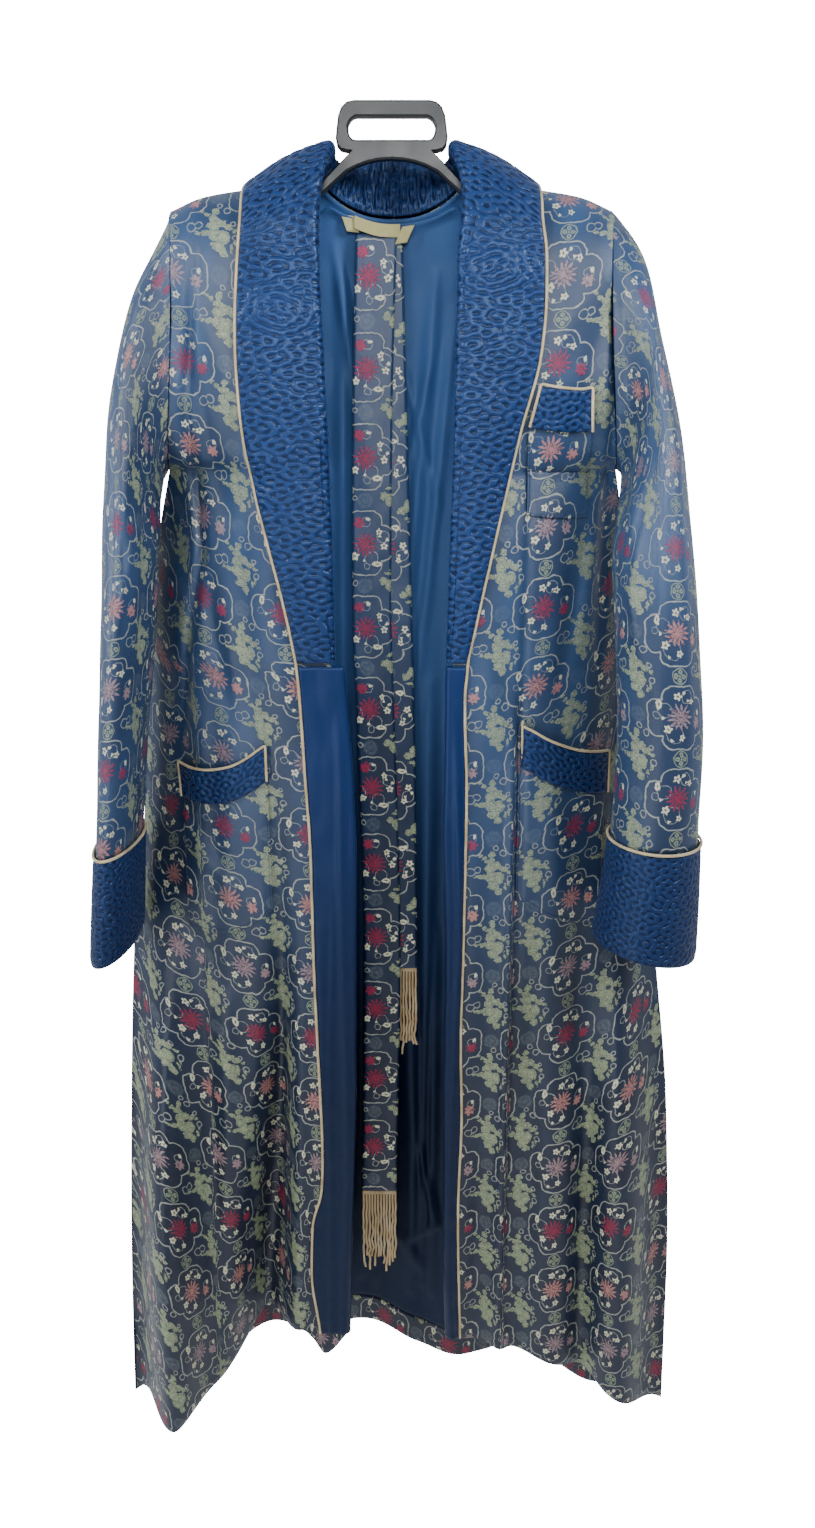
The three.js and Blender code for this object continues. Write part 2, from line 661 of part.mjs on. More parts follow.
function collarWall(sign, frontRows) {
  const grid = throughSections(collarSections(sign, frontRows), COLLAR_ROWS);
  const last = grid[0].length - 1;
  const rise = (i, j) => (j === 0 || j === last || i === 0 || i === COLLAR_ROWS ? 0 : quiltRelief(i, j));
  const trim = (inside, outside, i) => {
    if (i === COLLAR_ROWS) inside.x = outside.x;
  };
  return wall(grid, QUILT, { inward: -sign, rise, trim });
}

function facingWall(sign, rows) {
  const front = sign < 0 ? frontLeft : frontRight;
  const sections = rows.map((row) =>
    frontSection(front, row, SATIN, FACING_ROLL, FACING_FALL_STEPS, 0, 0.3),
  );
  return wall(throughSections(sections, FACING_ROWS), SATIN, { inward: sign });
}

// Piping along the whole outer edge, from the hem to the centre back.
function edgePiping(sign, facingRows, collarRows) {
  const front = sign < 0 ? frontLeft : frontRight;
  const beyond = PIPING + 0.7;
  const seat = PIPING + LAY;
  const points = [];
  const alongFront = (ease) => (row) => points.push(front.on(row.edge + beyond, row.drop, seat + ease));
  facingRows.slice().reverse().slice(1).forEach(alongFront(0));
  collarRows.slice(1).forEach(alongFront(COLLAR_EASE));
  COLLAR_NECK.forEach((row) => {
    const away = { ...row, edge: { out: row.edge.out, drop: row.edge.drop } };
    if (row.on === "back") away.edge.drop += beyond;
    if (row.on !== "back") away.edge.out += beyond;
    const p = collarEdge(sign, away, seat + NECK_EASE);
    if (row.on === "seam") p.z -= PIPING;
    points.push(p);
  });
  points[points.length - 1].x = sign * SEAM;
  const curve = new THREE.CatmullRomCurve3(points, false, "centripetal");
  return cord(curve.getPoints(62), PIPING, 4);
}

// ---- Sleeves and cuffs -------------------------------------------------------------------
// Each row is a ring: its outer point, its inner point and how deep it is to front and back.
const SLEEVE_LEFT = [
  { name: "armhole", outer: { out: 190.4, y: 0, drop: 74 }, inner: { out: 204.5, y: 5, drop: 292 }, deep: 46 },
  { name: "head", outer: { out: 204, y: -5, drop: 106 }, inner: { out: 208, y: 2, drop: 297 }, deep: 53 },
  { name: "notch", outer: { out: 228, y: -14, drop: 152 }, inner: { out: 210, y: -5, drop: 304 }, deep: 57 },
  { name: "upper", outer: { out: 243, y: -24, drop: 225 }, inner: { out: 211, y: -16, drop: 322 }, deep: 60 },
  { name: "biceps", outer: { out: 251, y: -32, drop: 318 }, inner: { out: 212, y: -30, drop: 362 }, deep: 62 },
  { name: "elbow", outer: { out: 257, y: -42, drop: 420 }, inner: { out: 217, y: -42, drop: 432 }, deep: 64 },
  { name: "forearm", outer: { out: 263, y: -50, drop: 510 }, inner: { out: 225, y: -52, drop: 508 }, deep: 65 },
  { name: "cuff_seam", outer: { out: 272, y: -56, drop: 629 }, inner: { out: 236, y: -62, drop: 623 }, deep: 65 },
];
const SLEEVE_RIGHT = [
  { name: "armhole", outer: { out: 190.4, y: 0, drop: 74 }, inner: { out: 204.5, y: 5, drop: 292 }, deep: 46 },
  { name: "head", outer: { out: 206, y: -6, drop: 92 }, inner: { out: 209, y: -5, drop: 296 }, deep: 55 },
  { name: "notch", outer: { out: 224, y: -14, drop: 124 }, inner: { out: 209, y: -18, drop: 302 }, deep: 60 },
  { name: "upper", outer: { out: 232, y: -28, drop: 180 }, inner: { out: 206, y: -36, drop: 314 }, deep: 61 },
  { name: "biceps", outer: { out: 247, y: -48, drop: 250 }, inner: { out: 198, y: -58, drop: 336 }, deep: 60 },
  { name: "bend", outer: { out: 258, y: -64, drop: 330 }, inner: { out: 193, y: -74, drop: 380 }, deep: 57 },
  { name: "elbow", outer: { out: 267, y: -76, drop: 420 }, inner: { out: 195, y: -86, drop: 442 }, deep: 55 },
  { name: "forearm", outer: { out: 275, y: -82, drop: 510 }, inner: { out: 199, y: -92, drop: 512 }, deep: 54 },
  { name: "cuff_seam", outer: { out: 276, y: -84, drop: 617 }, inner: { out: 197, y: -94, drop: 613 }, deep: 54 },
];
const CUFF_LEFT = [
  { name: "top", outer: { out: 273.5, y: -56, drop: 630.5 }, inner: { out: 234.5, y: -62, drop: 624.5 }, deep: 67 },
  { name: "mid", outer: { out: 278, y: -57, drop: 680 }, inner: { out: 237, y: -63, drop: 672 }, deep: 68 },
  { name: "open", outer: { out: 282, y: -58, drop: 731 }, inner: { out: 240, y: -64, drop: 720 }, deep: 69 },
];
const CUFF_RIGHT = [
  { name: "top", outer: { out: 278, y: -84, drop: 617.8 }, inner: { out: 195.5, y: -94, drop: 613.8 }, deep: 56 },
  { name: "mid", outer: { out: 279, y: -85, drop: 670 }, inner: { out: 190, y: -97, drop: 660 }, deep: 58 },
  { name: "open", outer: { out: 279, y: -86, drop: 724 }, inner: { out: 183, y: -100, drop: 704 }, deep: 60 },
];
const SLEEVE_SIDES = 18;
const SLEEVE_ROWS = 13;
// Soft folds down the sleeve, as waves round it.
const SLEEVE_FOLDS = [
  { waves: 2, turn: 0.6, from: 0.25, depth: 3.2 },
  { waves: 3, turn: 2.1, from: 0.1, depth: 2.2 },
];

function ring(sign, row, blend, swell) {
  const outer = vec(sign * row.outer.out, row.outer.y, -row.outer.drop);
  const inner = vec(sign * row.inner.out, row.inner.y, -row.inner.drop);
  const centre = outer.clone().add(inner).multiplyScalar(0.5);
  const half = outer.clone().sub(inner).multiplyScalar(0.5);
  return spread(SLEEVE_SIDES)
    .slice(0, -1)
    .map((t) => {
      const turn = 2 * Math.PI * t;
      const plain = centre.clone().addScaledVector(half, Math.cos(turn));
      plain.y -= row.deep * Math.sin(turn);
      const drop = lerp(SHOULDER_DROP, UNDERARM_DROP, (1 - Math.cos(turn)) / 2);
      const face = Math.sin(turn) >= 0 ? -1 : 1;
      const edge = armhole(drop, face);
      const y = edge.y * round(drop - SHOULDER_DROP, SHOULDER_ROUND);
      const seam = vec(sign * (edge.out + ARMHOLE_GAP), y, -drop);
      const fold = SLEEVE_FOLDS.reduce(
        (sum, f) => sum + f.depth * smoothstep(swell, f.from, f.from + 0.3) * Math.cos(f.waves * turn + f.turn),
        0,
      );
      plain.y -= fold * Math.sin(turn);
      return plain.lerp(seam, blend);
    });
}

function tube(sign, rows, rowCount, thickness, { seamed = false, padded = false } = {}) {
  const rings = rows.map((row, i) => {
    const blend = seamed ? [1, 0.45, 0.15][i] ?? 0 : 0;
    return ring(sign, row, blend, seamed ? i / rows.length : 0);
  });
  const grid = throughSections(rings, rowCount);
  const rise = padded ? (i, j) => (i === 0 || i === rowCount ? 0 : quiltRelief(1.7 * i, j)) : null;
  const trim = (inside, outside, i) => {
    if (seamed && i === 0) inside.x = outside.x;
  };
  return wall(grid, thickness, { tube: true, inward: -sign, rise, trim });
}

function cuffPiping(sign, row, ease) {
  const beyond = PIPING + ease;
  const grown = {
    ...row,
    outer: { ...row.outer, out: row.outer.out + beyond, drop: row.outer.drop - PIPING - SEAM },
    inner: { ...row.inner, out: row.inner.out - beyond, drop: row.inner.drop - PIPING - SEAM },
    deep: row.deep + beyond,
  };
  return cord(ring(sign, grown, 0, 0), PIPING, 4, true);
}

// ---- Pockets -------------------------------------------------------------------------------
// A band's corners and the sag of its top and bottom edges; the patch hangs below it.
const POCKETS = [
  {
    name: "chest", panel: frontRight, from: 128, fromLow: 118.5, to: 175, topFrom: 221, topTo: 224,
    high: 34, sag: 2, patch: 72, gape: 1,
  },
  {
    name: "hip_left", panel: frontLeft, from: 203, fromLow: 201, to: 117, topFrom: 565, topTo: 541,
    high: 33, sag: 13, patch: 128, gape: 3,
  },
  {
    name: "hip_right", panel: frontRight, from: 115, fromLow: 116, to: 201, topFrom: 518, topTo: 553,
    high: 39, sag: 8, patch: 128, gape: 3,
  },
];

// -1 where the pocket's columns run against its panel's columns.
const pocketTurn = (pocket) => Math.sign(pocket.from - pocket.to);

function pocketPoint(pocket, across, down, lift) {
  const start = lerp(pocket.from, pocket.fromLow, clamp(down / pocket.high, 0, 1));
  const out = lerp(start, pocket.to, across);
  const sag = pocket.sag * Math.sin(Math.PI * across);
  return pocket.panel.on(out, lerp(pocket.topFrom, pocket.topTo, across) + sag + down, lift);
}

function pocketBand(pocket) {
  const lift = SATIN + QUILT + 2 * LAY;
  const rows = spread(3).map((v) =>
    spread(8).map((u) => {
      const gape = pocket.gape * Math.sin(Math.PI * u) * (1 - v);
      return pocketPoint(pocket, u, v * pocket.high, lift + gape);
    }),
  );
  const inward = pocket.panel.inward * pocketTurn(pocket);
  const rise = (i, j) => (i % 3 === 0 || j % 8 === 0 ? 0 : quiltRelief(i * 2.1, j * 1.3));
  return wall(rows, QUILT, { inward, rise });
}

function pocketPatch(pocket) {
  const rows = spread(6).map((v) =>
    spread(8).map((u) => pocketPoint(pocket, u, 4 + v * (pocket.high + pocket.patch), SATIN + LAY)),
  );
  const inward = pocket.panel.inward * pocketTurn(pocket);
  return wall(rows, SATIN, { inward });
}

function pocketPiping(pocket) {
  const lift = SATIN + QUILT + 2 * LAY - PIPING;
  const above = PIPING + SEAM + 0.3;
  const beside = (above * Math.sign(pocket.to - pocket.from)) / Math.abs(pocket.to - pocket.from);
  const side = Math.abs(beside);
  const path = [];
  spread(10).forEach((t) => {
    const u = lerp(-side, 1 + side, t);
    const gape = pocket.gape * Math.sin(Math.PI * t);
    path.push(pocketPoint(pocket, u, -above, lift + gape));
  });
  return cord(path, PIPING, 4);
}

// ---- Belt, fringe, label ------------------------------------------------------------------
// The belt hangs over its fold at the neck; rows run down each strand.
const BELT_LONG = [
  { drop: 88, x: -14.5, y: 33.4 },
  { drop: 250, x: -19.2, y: 36 },
  { drop: 428, x: -20.8, y: 37 },
  { drop: 514, x: -18.4, y: 37 },
  { drop: 776, x: -12.4, y: 36 },
  { drop: 1056, x: -17, y: 34 },
];
const BELT_SHORT = [
  { drop: 88, x: -9.5, y: 37 },
  { drop: 250, x: -5.5, y: 40.6 },
  { drop: 428, x: -1, y: 41.6 },
  { drop: 616, x: 3.2, y: 42 },
  { drop: 798, x: 4.8, y: 41 },
];
const BELT_WALL = 1.6;
const BELT_STEPS = 13;

function strand(rows, t) {
  const drop = lerp(rows[0].drop, rows[rows.length - 1].drop, t);
  return vec(column(rows, "drop", "x")(drop), column(rows, "drop", "y")(drop), -drop);
}

function beltWall() {
  const centre = [
    ...spread(BELT_STEPS).reverse().map((t) => strand(BELT_LONG, t)),
    vec(-12, 35.2, -85.6),
    ...spread(BELT_STEPS).map((t) => strand(BELT_SHORT, t)),
  ];
  const rows = centre.map((p) =>
    spread(2).map((u) => {
      const cup = 1.1 * Math.sin(Math.PI * u) * Math.min(1, (-p.z - 86) / 200);
      return vec(p.x + (u - 0.5) * BELT_WIDTH, p.y - cup, p.z);
    }),
  );
  return wall(rows, BELT_WALL, { inward: -1 });
}

const wasm = await Module();
wasm.setup();

function toSolid(geometry) {
  const bare = geometry.clone();
  bare.deleteAttribute("normal");
  bare.deleteAttribute("uv");
  const merged = mergeVertices(bare, 1e-3);
  return new wasm.Manifold(
    new wasm.Mesh({
      numProp: 3,
      vertProperties: new Float32Array(merged.attributes.position.array),
      triVerts: new Uint32Array(merged.index.array),
    }),
  );
}

function fromSolid(solid) {
  const mesh = solid.getMesh();
  const geometry = new THREE.BufferGeometry();
  geometry.setAttribute("position", new THREE.BufferAttribute(mesh.vertProperties, 3));
  geometry.setIndex(new THREE.BufferAttribute(mesh.triVerts, 1));
  return geometry;
}

// Twisted threads that hang from a narrow strip under the belt's end.
const FRINGE_STRANDS = 18;
const FRINGE_HEAD = 4;
function fringe(end) {
  const head = new THREE.BoxGeometry(BELT_WIDTH, BELT_WALL, FRINGE_HEAD);
  head.translate(end.x, end.y + BELT_WALL / 2, end.z - SEAM - FRINGE_HEAD / 2);
  let solid = toSolid(head);
  for (let k = 0; k < FRINGE_STRANDS; k += 1) {
    const u = (k + 0.5) / FRINGE_STRANDS - 0.5;
    const length = FRINGE_LENGTH * (1 + 0.07 * Math.sin(2.4 * k) + 0.05 * Math.sin(5.1 * k));
    const lean = 1 - 0.1 * Math.sin(1.7 * k);
    const path = spread(2).map((t) =>
      vec(
        end.x + u * BELT_WIDTH * lerp(1, lean, t),
        end.y + BELT_WALL / 2 - 1.2 * Math.sin(3 * k) * t,
        end.z - SEAM - 1 - length * t,
      ),
    );
    path[0].x = end.x + u * BELT_WIDTH;
    solid = solid.add(toSolid(cord(path, 0.72, 3)));
  }
  return fromSolid(solid);
}

// A ribbon that loops over the folded belt, sewn at its ends.
function labelWall() {
  const rows = spread(2).map((v) =>
    spread(8).map((u) => {
      const x = lerp(-42, 18, u);
      const z = -lerp(72, 79, u) - 11 * v - 3 * Math.sin(Math.PI * u);
      return vec(x, 33.7 - 5.7 * Math.sin(Math.PI * u) ** 0.6 + 4 * u, z);
    }),
  );
  return wall(rows, 1, { inward: 1 });
}

// ---- Hanger ---------------------------------------------------------------------------------
const HANGER = {
  thick: 12, bar: 13, footBar: 9, loopTop: 84, loopBase: 102, loopHigh: 40,
  armRoot: 35, armUnder: 6, armTip: 176, armHigh: 16,
};
function hangerShape() {
  const { bar, footBar, loopTop, loopBase, loopHigh, armRoot, armUnder, armTip, armHigh } = HANGER;
  const base = bar - loopHigh;
  const shape = new THREE.Shape();
  shape.moveTo(-loopTop / 2 + 10, bar);
  shape.lineTo(loopTop / 2 - 10, bar);
  shape.quadraticCurveTo(loopTop / 2 + 4, bar, loopBase / 2 - 4, -8);
  shape.quadraticCurveTo(loopBase / 2, base, loopBase / 2 - 12, base);
  shape.lineTo(armRoot, base);
  shape.lineTo(armRoot + 26, base - 24.5);
  shape.quadraticCurveTo(110, -63.6, armTip - 6, -80);
  shape.quadraticCurveTo(armTip + 4, -88, armTip - 6, -80 - armHigh);
  shape.quadraticCurveTo(112, -87, armRoot + 29, base - 37);
  shape.lineTo(armRoot + 4, base - armUnder - 10);
  shape.quadraticCurveTo(armRoot - 14, base - armUnder, 0, base - armUnder);
  shape.quadraticCurveTo(14 - armRoot, base - armUnder, -armRoot - 4, base - armUnder - 10);
  shape.lineTo(-armRoot - 29, base - 37);
  shape.quadraticCurveTo(-112, -87, -armTip + 6, -80 - armHigh);
  shape.quadraticCurveTo(-armTip - 4, -88, -armTip + 6, -80);
  shape.quadraticCurveTo(-110, -63.6, -armRoot - 26, base - 24.5);
  shape.lineTo(-armRoot, base);
  shape.lineTo(-loopBase / 2 + 12, base);
  shape.quadraticCurveTo(-loopBase / 2, base, -loopBase / 2 + 4, -8);
  shape.quadraticCurveTo(-loopTop / 2 - 4, bar, -loopTop / 2 + 10, bar);
  const hole = new THREE.Path();
  const half = loopTop / 2 - bar + 6;
  hole.moveTo(half - 5, 0);
  hole.lineTo(-half + 5, 0);
  hole.quadraticCurveTo(-half, -1, -half - 2, -7);
  hole.quadraticCurveTo(-half - 2, base + footBar, -half + 4, base + footBar);
  hole.lineTo(half - 4, base + footBar);
  hole.quadraticCurveTo(half + 2, base + footBar, half + 2, -7);
  hole.quadraticCurveTo(half, -1, half - 5, 0);
  shape.holes.push(hole);
  return shape;
}

function hanger() {
  const rim = 1.5;
  const geometry = new THREE.ExtrudeGeometry(hangerShape(), {
    depth: HANGER.thick - 2 * rim,
    bevelThickness: rim,
    bevelSize: rim,
    bevelOffset: -rim,
    bevelSegments: 1,
    curveSegments: 4,
  });
  geometry.translate(0, 0, -(HANGER.thick - 2 * rim) / 2);
  geometry.rotateX(Math.PI / 2);
  return geometry;
}

// ---- Assembly -------------------------------------------------------------------------------
const robe = new THREE.Group();

function add(name, geometry, finish) {
  geometry.computeVertexNormals();
  const material = new THREE.MeshStandardMaterial({ ...COLOURS[finish], metalness: 0 });
  const mesh = new THREE.Mesh(geometry, material);
  mesh.name = name;
  robe.add(mesh);
}

const SIDES = [
  {
    name: "left", sign: -1, front: frontLeft, sleeve: SLEEVE_LEFT, cuff: CUFF_LEFT,
    collar: COLLAR_FRONT_LEFT, facing: FACING_LEFT, cuffEase: 1.6,
  },
  {
    name: "right", sign: 1, front: frontRight, sleeve: SLEEVE_RIGHT, cuff: CUFF_RIGHT,
    collar: COLLAR_FRONT_RIGHT, facing: FACING_RIGHT, cuffEase: 2,
  },
];

add("hanger", hanger(), "plastic");
add("back", panelWall(back, [0, BACK_COLUMNS]), "brocade");
const liningRow = ROWS.length - 2;
add("lining_back", backingWall(back, 1, BACK_COLUMNS - 1, 1, liningRow, SATIN), "satin");
add("back_hem", backingWall(back, 1, BACK_COLUMNS - 1, liningRow, liningRow + 1, SATIN), "brocade");
for (const side of SIDES) {
  const { name, sign, front, sleeve, cuff, collar, facing, cuffEase } = side;
  add(`front_${name}`, panelWall(front, [0]), "brocade");
  add(`sleeve_${name}`, tube(sign, sleeve, SLEEVE_ROWS, BROCADE, { seamed: true }), "brocade");
  add(`cuff_${name}`, tube(sign, cuff, 4, QUILT, { padded: true }), "satin");
  add(`cuff_piping_${name}`, cuffPiping(sign, sleeve[sleeve.length - 1], cuffEase), "piping");
  add(`collar_${name}`, collarWall(sign, collar), "satin");
  add(`facing_${name}`, facingWall(sign, facing), "satin");
  add(`edge_piping_${name}`, edgePiping(sign, facing, collar), "piping");
}
for (const pocket of POCKETS) {
  add(`pocket_patch_${pocket.name}`, pocketPatch(pocket), "brocade");
  add(`pocket_band_${pocket.name}`, pocketBand(pocket), "satin");
  add(`pocket_piping_${pocket.name}`, pocketPiping(pocket), "piping");
}
add("belt", beltWall(), "brocade");
add("fringe_long", fringe(strand(BELT_LONG, 1)), "fringe");
add("fringe_short", fringe(strand(BELT_SHORT, 1)), "fringe");
add("label", labelWall(), "label");

export default robe;
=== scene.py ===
# %% [markdown]
# # A brocade dressing gown on its hanger
# The gown is made the way it is sewn: a shape for each cut piece, worked out from a few
# measured rows, and then laid out as a fine grid of points that becomes a thin closed wall.
# Everything is in metres in Blender, but the tables below are in millimetres, as on a
# pattern sheet. A "drop" is a distance below the hanging point and "out" is a distance
# from the middle, towards the piece's own side.

# %% Load the frame
import math
from functools import partial

import bpy
import numpy as np
from mathutils import Matrix


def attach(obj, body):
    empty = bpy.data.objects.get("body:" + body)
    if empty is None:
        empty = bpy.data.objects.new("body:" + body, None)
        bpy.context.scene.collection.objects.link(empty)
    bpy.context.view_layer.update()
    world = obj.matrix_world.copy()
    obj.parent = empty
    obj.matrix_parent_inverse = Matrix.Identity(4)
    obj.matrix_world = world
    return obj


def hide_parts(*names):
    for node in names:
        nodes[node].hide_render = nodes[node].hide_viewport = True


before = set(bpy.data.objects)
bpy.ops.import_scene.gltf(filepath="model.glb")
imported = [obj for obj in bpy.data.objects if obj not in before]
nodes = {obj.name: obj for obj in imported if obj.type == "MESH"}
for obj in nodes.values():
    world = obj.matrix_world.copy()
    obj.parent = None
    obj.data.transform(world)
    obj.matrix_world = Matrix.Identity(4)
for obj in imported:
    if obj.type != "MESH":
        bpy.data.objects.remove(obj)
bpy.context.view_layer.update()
MM = 0.001
PANEL_WALL, SLEEVE_WALL, PATCH_WALL, PADDED_WALL = 1.3, 1.2, 1.0, 2.2  # thickness of each kind of cloth, mm
SATIN_WALL, BELT_WALL, RIBBON_WALL = 0.9, 1.5, 0.8

# %% [markdown]
# ## Camera, floor and light
# The gown is seen from a little above its middle by someone standing close, so the lens is
# short and the camera looks down. Soft lights close to the shoulders make them bright and
# let the skirt fall into shade. What the camera sees of the room is a white page, while the
# gown itself is lit by a dimmer room, which leaves the silk its contrast.

# %% Camera
def add_object(name, data):
    """A new object in the scene, for a mesh, a curve, a lamp or a camera."""
    thing = bpy.data.objects.new(name, data)
    bpy.context.scene.collection.objects.link(thing)
    return thing


lens = bpy.data.cameras.new("camera")
lens.sensor_fit = "VERTICAL"
lens.sensor_height = 36
lens.lens = 29.45
camera = add_object("camera", lens)
camera.location = (0.0135, -1.170, -0.273)
camera.rotation_euler = (math.radians(90 - 14.2), 0, 0)
bpy.context.scene.camera = camera
print("camera:", lens.lens, "mm lens at", tuple(camera.location))


# %% Floor and lights
FLOOR_HALF, FLOOR_Z = 9.0, -1.43
PAPER_GLOW, PAGE_GLOW = 17.0, 18.0  # how bright the camera sees the floor and the room
corners = [(x * FLOOR_HALF, y * FLOOR_HALF, FLOOR_Z) for x, y in ((-1, -1), (1, -1), (1, 1), (-1, 1))]
floor_mesh = bpy.data.meshes.new("floor")
floor_mesh.from_pydata(corners, [], [(0, 1, 2, 3)])
floor = add_object("floor", floor_mesh)
paper = bpy.data.materials.new("pale floor")
paper.use_nodes = True
tree = paper.node_tree
surface = tree.nodes["Principled BSDF"]
surface.inputs["Base Color"].default_value = (0.9, 0.9, 0.9, 1)
surface.inputs["Roughness"].default_value = 0.9
surface.inputs["Emission Color"].default_value = (1, 1, 1, 1)
glow = tree.nodes.new("ShaderNodeMath")
glow.operation = "MULTIPLY"
glow.inputs[1].default_value = PAPER_GLOW
tree.links.new(tree.nodes.new("ShaderNodeLightPath").outputs["Is Camera Ray"], glow.inputs[0])
tree.links.new(glow.outputs[0], surface.inputs["Emission Strength"])
floor_mesh.materials.append(paper)

LIGHTS = [
    # name, place, aimed at, size, watts, colour
    ("left_key", (-1.0, -0.85, 0.42), (0.02, 0.0, -0.36), 0.42, 14, (0.95, 0.98, 1.0)),
    ("right_glow", (0.95, -0.85, 0.35), (0.1, 0.0, -0.4), 0.5, 18, (0.93, 0.96, 1.0)),
    ("left_rim", (-1.5, -0.35, -0.2), (0.0, 0.0, -0.7), 0.6, 9, (0.9, 0.95, 1.0)),
    ("low_fill", (-0.9, -1.5, -0.9), (0.0, 0.0, -1.0), 0.6, 6, (1.0, 1.0, 1.0)),
]
for name, place, aim, size, watts, colour in LIGHTS:
    data = bpy.data.lights.new(name, "AREA")
    data.shape = "DISK"
    data.size = size
    data.energy = watts
    data.color = colour
    lamp = add_object(name, data)
    lamp.location = place
    way = np.array(aim) - np.array(place)
    lamp.rotation_euler = (math.atan2(math.hypot(way[0], way[1]), -way[2]), 0, math.atan2(-way[0], way[1]))
spot = bpy.data.lights.new("front_spot", "SPOT")
spot.energy, spot.spot_size, spot.spot_blend = 38, math.radians(60), 1.0
spot.shadow_soft_size = 0.22
front_spot = add_object("front_spot", spot)
front_spot.location = (0.03, -1.35, 0.12)
front_spot.rotation_euler = (math.radians(78), 0, 0)

world = bpy.data.worlds.new("studio")
world.use_nodes = True
sky = world.node_tree
heading = sky.nodes.new("ShaderNodeSeparateXYZ")
sky.links.new(sky.nodes.new("ShaderNodeTexCoord").outputs["Generated"], heading.inputs[0])
room = sky.nodes.new("ShaderNodeMapRange")
room.inputs["From Min"].default_value, room.inputs["From Max"].default_value = -0.25, 0.3
room.inputs["To Min"].default_value, room.inputs["To Max"].default_value = 0.2, 0.7
page = sky.nodes.new("ShaderNodeMix")
page.inputs["B"].default_value = PAGE_GLOW
sky.links.new(heading.outputs["Y"], room.inputs["Value"])
sky.links.new(sky.nodes.new("ShaderNodeLightPath").outputs["Is Camera Ray"], page.inputs["Factor"])
sky.links.new(room.outputs["Result"], page.inputs["A"])
sky.links.new(page.outputs["Result"], sky.nodes["Background"].inputs["Strength"])
sky.nodes["Background"].inputs["Color"].default_value = (0.985, 0.99, 1.0, 1)
bpy.context.scene.world = world
print("lights:", [row[0] for row in LIGHTS])


# %% [markdown]
# ## Curves through tables
# A pattern is a handful of measurements. `curve` joins the points of one column smoothly
# and never overshoots them, so a table can be read in millimetres and nothing bulges
# between its rows. `through` does the same for whole cross sections.


# %% Helpers for curves
def lerp(a, b, t):
    return a + (b - a) * t


def ramp(x, low, high):
    t = np.clip((x - low) / (high - low), 0, 1)
    return t * t * (3 - 2 * t)


def bump(offset, width):
    q = np.clip(np.abs(offset / width), 0, 1)
    return (1 + np.cos(np.pi * q)) / 2


def quarter_round(distance, reach):
    q = np.clip(1 - distance / reach, 0, 1)
    return np.sqrt(1 - q * q)


def unit(v):
    return v / np.maximum(np.linalg.norm(v, axis=-1, keepdims=True), 1e-9)


def curve(x, y):
    """A smooth function through the points, level at every turning point."""
    x, y = np.array(x, float), np.array(y, float)
    slope = np.diff(y) / np.diff(x)
    left, right = slope[:-1], slope[1:]
    same_way = left * right > 0
    middle = np.where(same_way, 2 * left * right / np.where(same_way, left + right, 1), 0)
    tangent = np.concatenate([slope[:1], middle, slope[-1:]])

    def at(q):
        i = np.clip(np.searchsorted(x, q, side="right") - 1, 0, len(x) - 2)
        span = x[i + 1] - x[i]
        t = np.clip((q - x[i]) / span, 0, 1)
        pull = t * (1 - t) ** 2 * tangent[i] - t * t * (1 - t) * tangent[i + 1]
        return lerp(y[i], y[i + 1], t * t * (3 - 2 * t)) + span * pull

    return at


def columns(names, rows):
    """A table as a dictionary of its named columns."""
    return dict(zip(names.split(), np.array(rows, float).T))


def through(sections, t):
    """Rows of points on smooth curves through a list of sections."""
    ends = (2 * sections[:1] - sections[1:2], 2 * sections[-1:] - sections[-2:-1])
    p = np.concatenate([ends[0], sections, ends[1]])
    x = t * (len(sections) - 1)
    i = np.clip(np.floor(x).astype(int), 0, len(sections) - 2)
    w = (x - i)[:, None, None]
    p0, p1, p2, p3 = p[i], p[i + 1], p[i + 2], p[i + 3]
    gap = [np.maximum(np.sqrt(np.linalg.norm(b - a, axis=-1, keepdims=True)), 1e-3)
           for a, b in ((p0, p1), (p1, p2), (p2, p3))]
    d0, d1, d2 = gap
    t1 = ((p1 - p0) / d0 - (p2 - p0) / (d0 + d1) + (p2 - p1) / d1) * d1
    t2 = ((p2 - p1) / d1 - (p3 - p1) / (d1 + d2) + (p3 - p2) / d2) * d1
    return p1 + t1 * w + (-3 * p1 + 3 * p2 - 2 * t1 - t2) * w**2 + (2 * p1 - 2 * p2 + t1 + t2) * w**3


def even_steps(sections, count, track=-1):
    """Places along the sections that are evenly spaced on one of their points."""
    dense = np.linspace(0, 1, 12 * len(sections))
    line = through(sections, dense)[:, track]
    run = np.concatenate([[0], np.cumsum(np.linalg.norm(np.diff(line, axis=0), axis=-1))])
    return np.interp(np.linspace(0, run[-1], count), run, dense)


# %% [markdown]
# ## From a grid of points to cloth
# Cloth has two faces and an edge you can see, so each piece is a closed wall: the grid,
# the same grid moved in by the cloth's thickness, and a rim round both. The walls carry a
# UV map called "cloth" that is measured along the cloth itself, in metres, so that a woven
# figure keeps its size wherever the cloth bends.


# %% Helpers for cloth
def measure(points, tube=False):
    """How far each point lies along its row and down its column, on the cloth."""
    if tube:
        points = np.concatenate([points, points[:, :1]], axis=1)
    across = np.linalg.norm(np.diff(points, axis=1), axis=-1)
    down = np.linalg.norm(np.diff(points, axis=0), axis=-1)
    zero_col = np.zeros((len(points), 1))
    zero_row = np.zeros((1, points.shape[1]))
    return (
        np.concatenate([zero_col, np.cumsum(across, axis=1)], axis=1),
        np.concatenate([zero_row, np.cumsum(down, axis=0)], axis=0),
    )


def grid_normals(points, tube=False):
    if tube:
        along = np.roll(points, -1, axis=1) - np.roll(points, 1, axis=1)
    else:
        along = np.gradient(points, axis=1)
    return unit(np.cross(along, np.gradient(points, axis=0)))


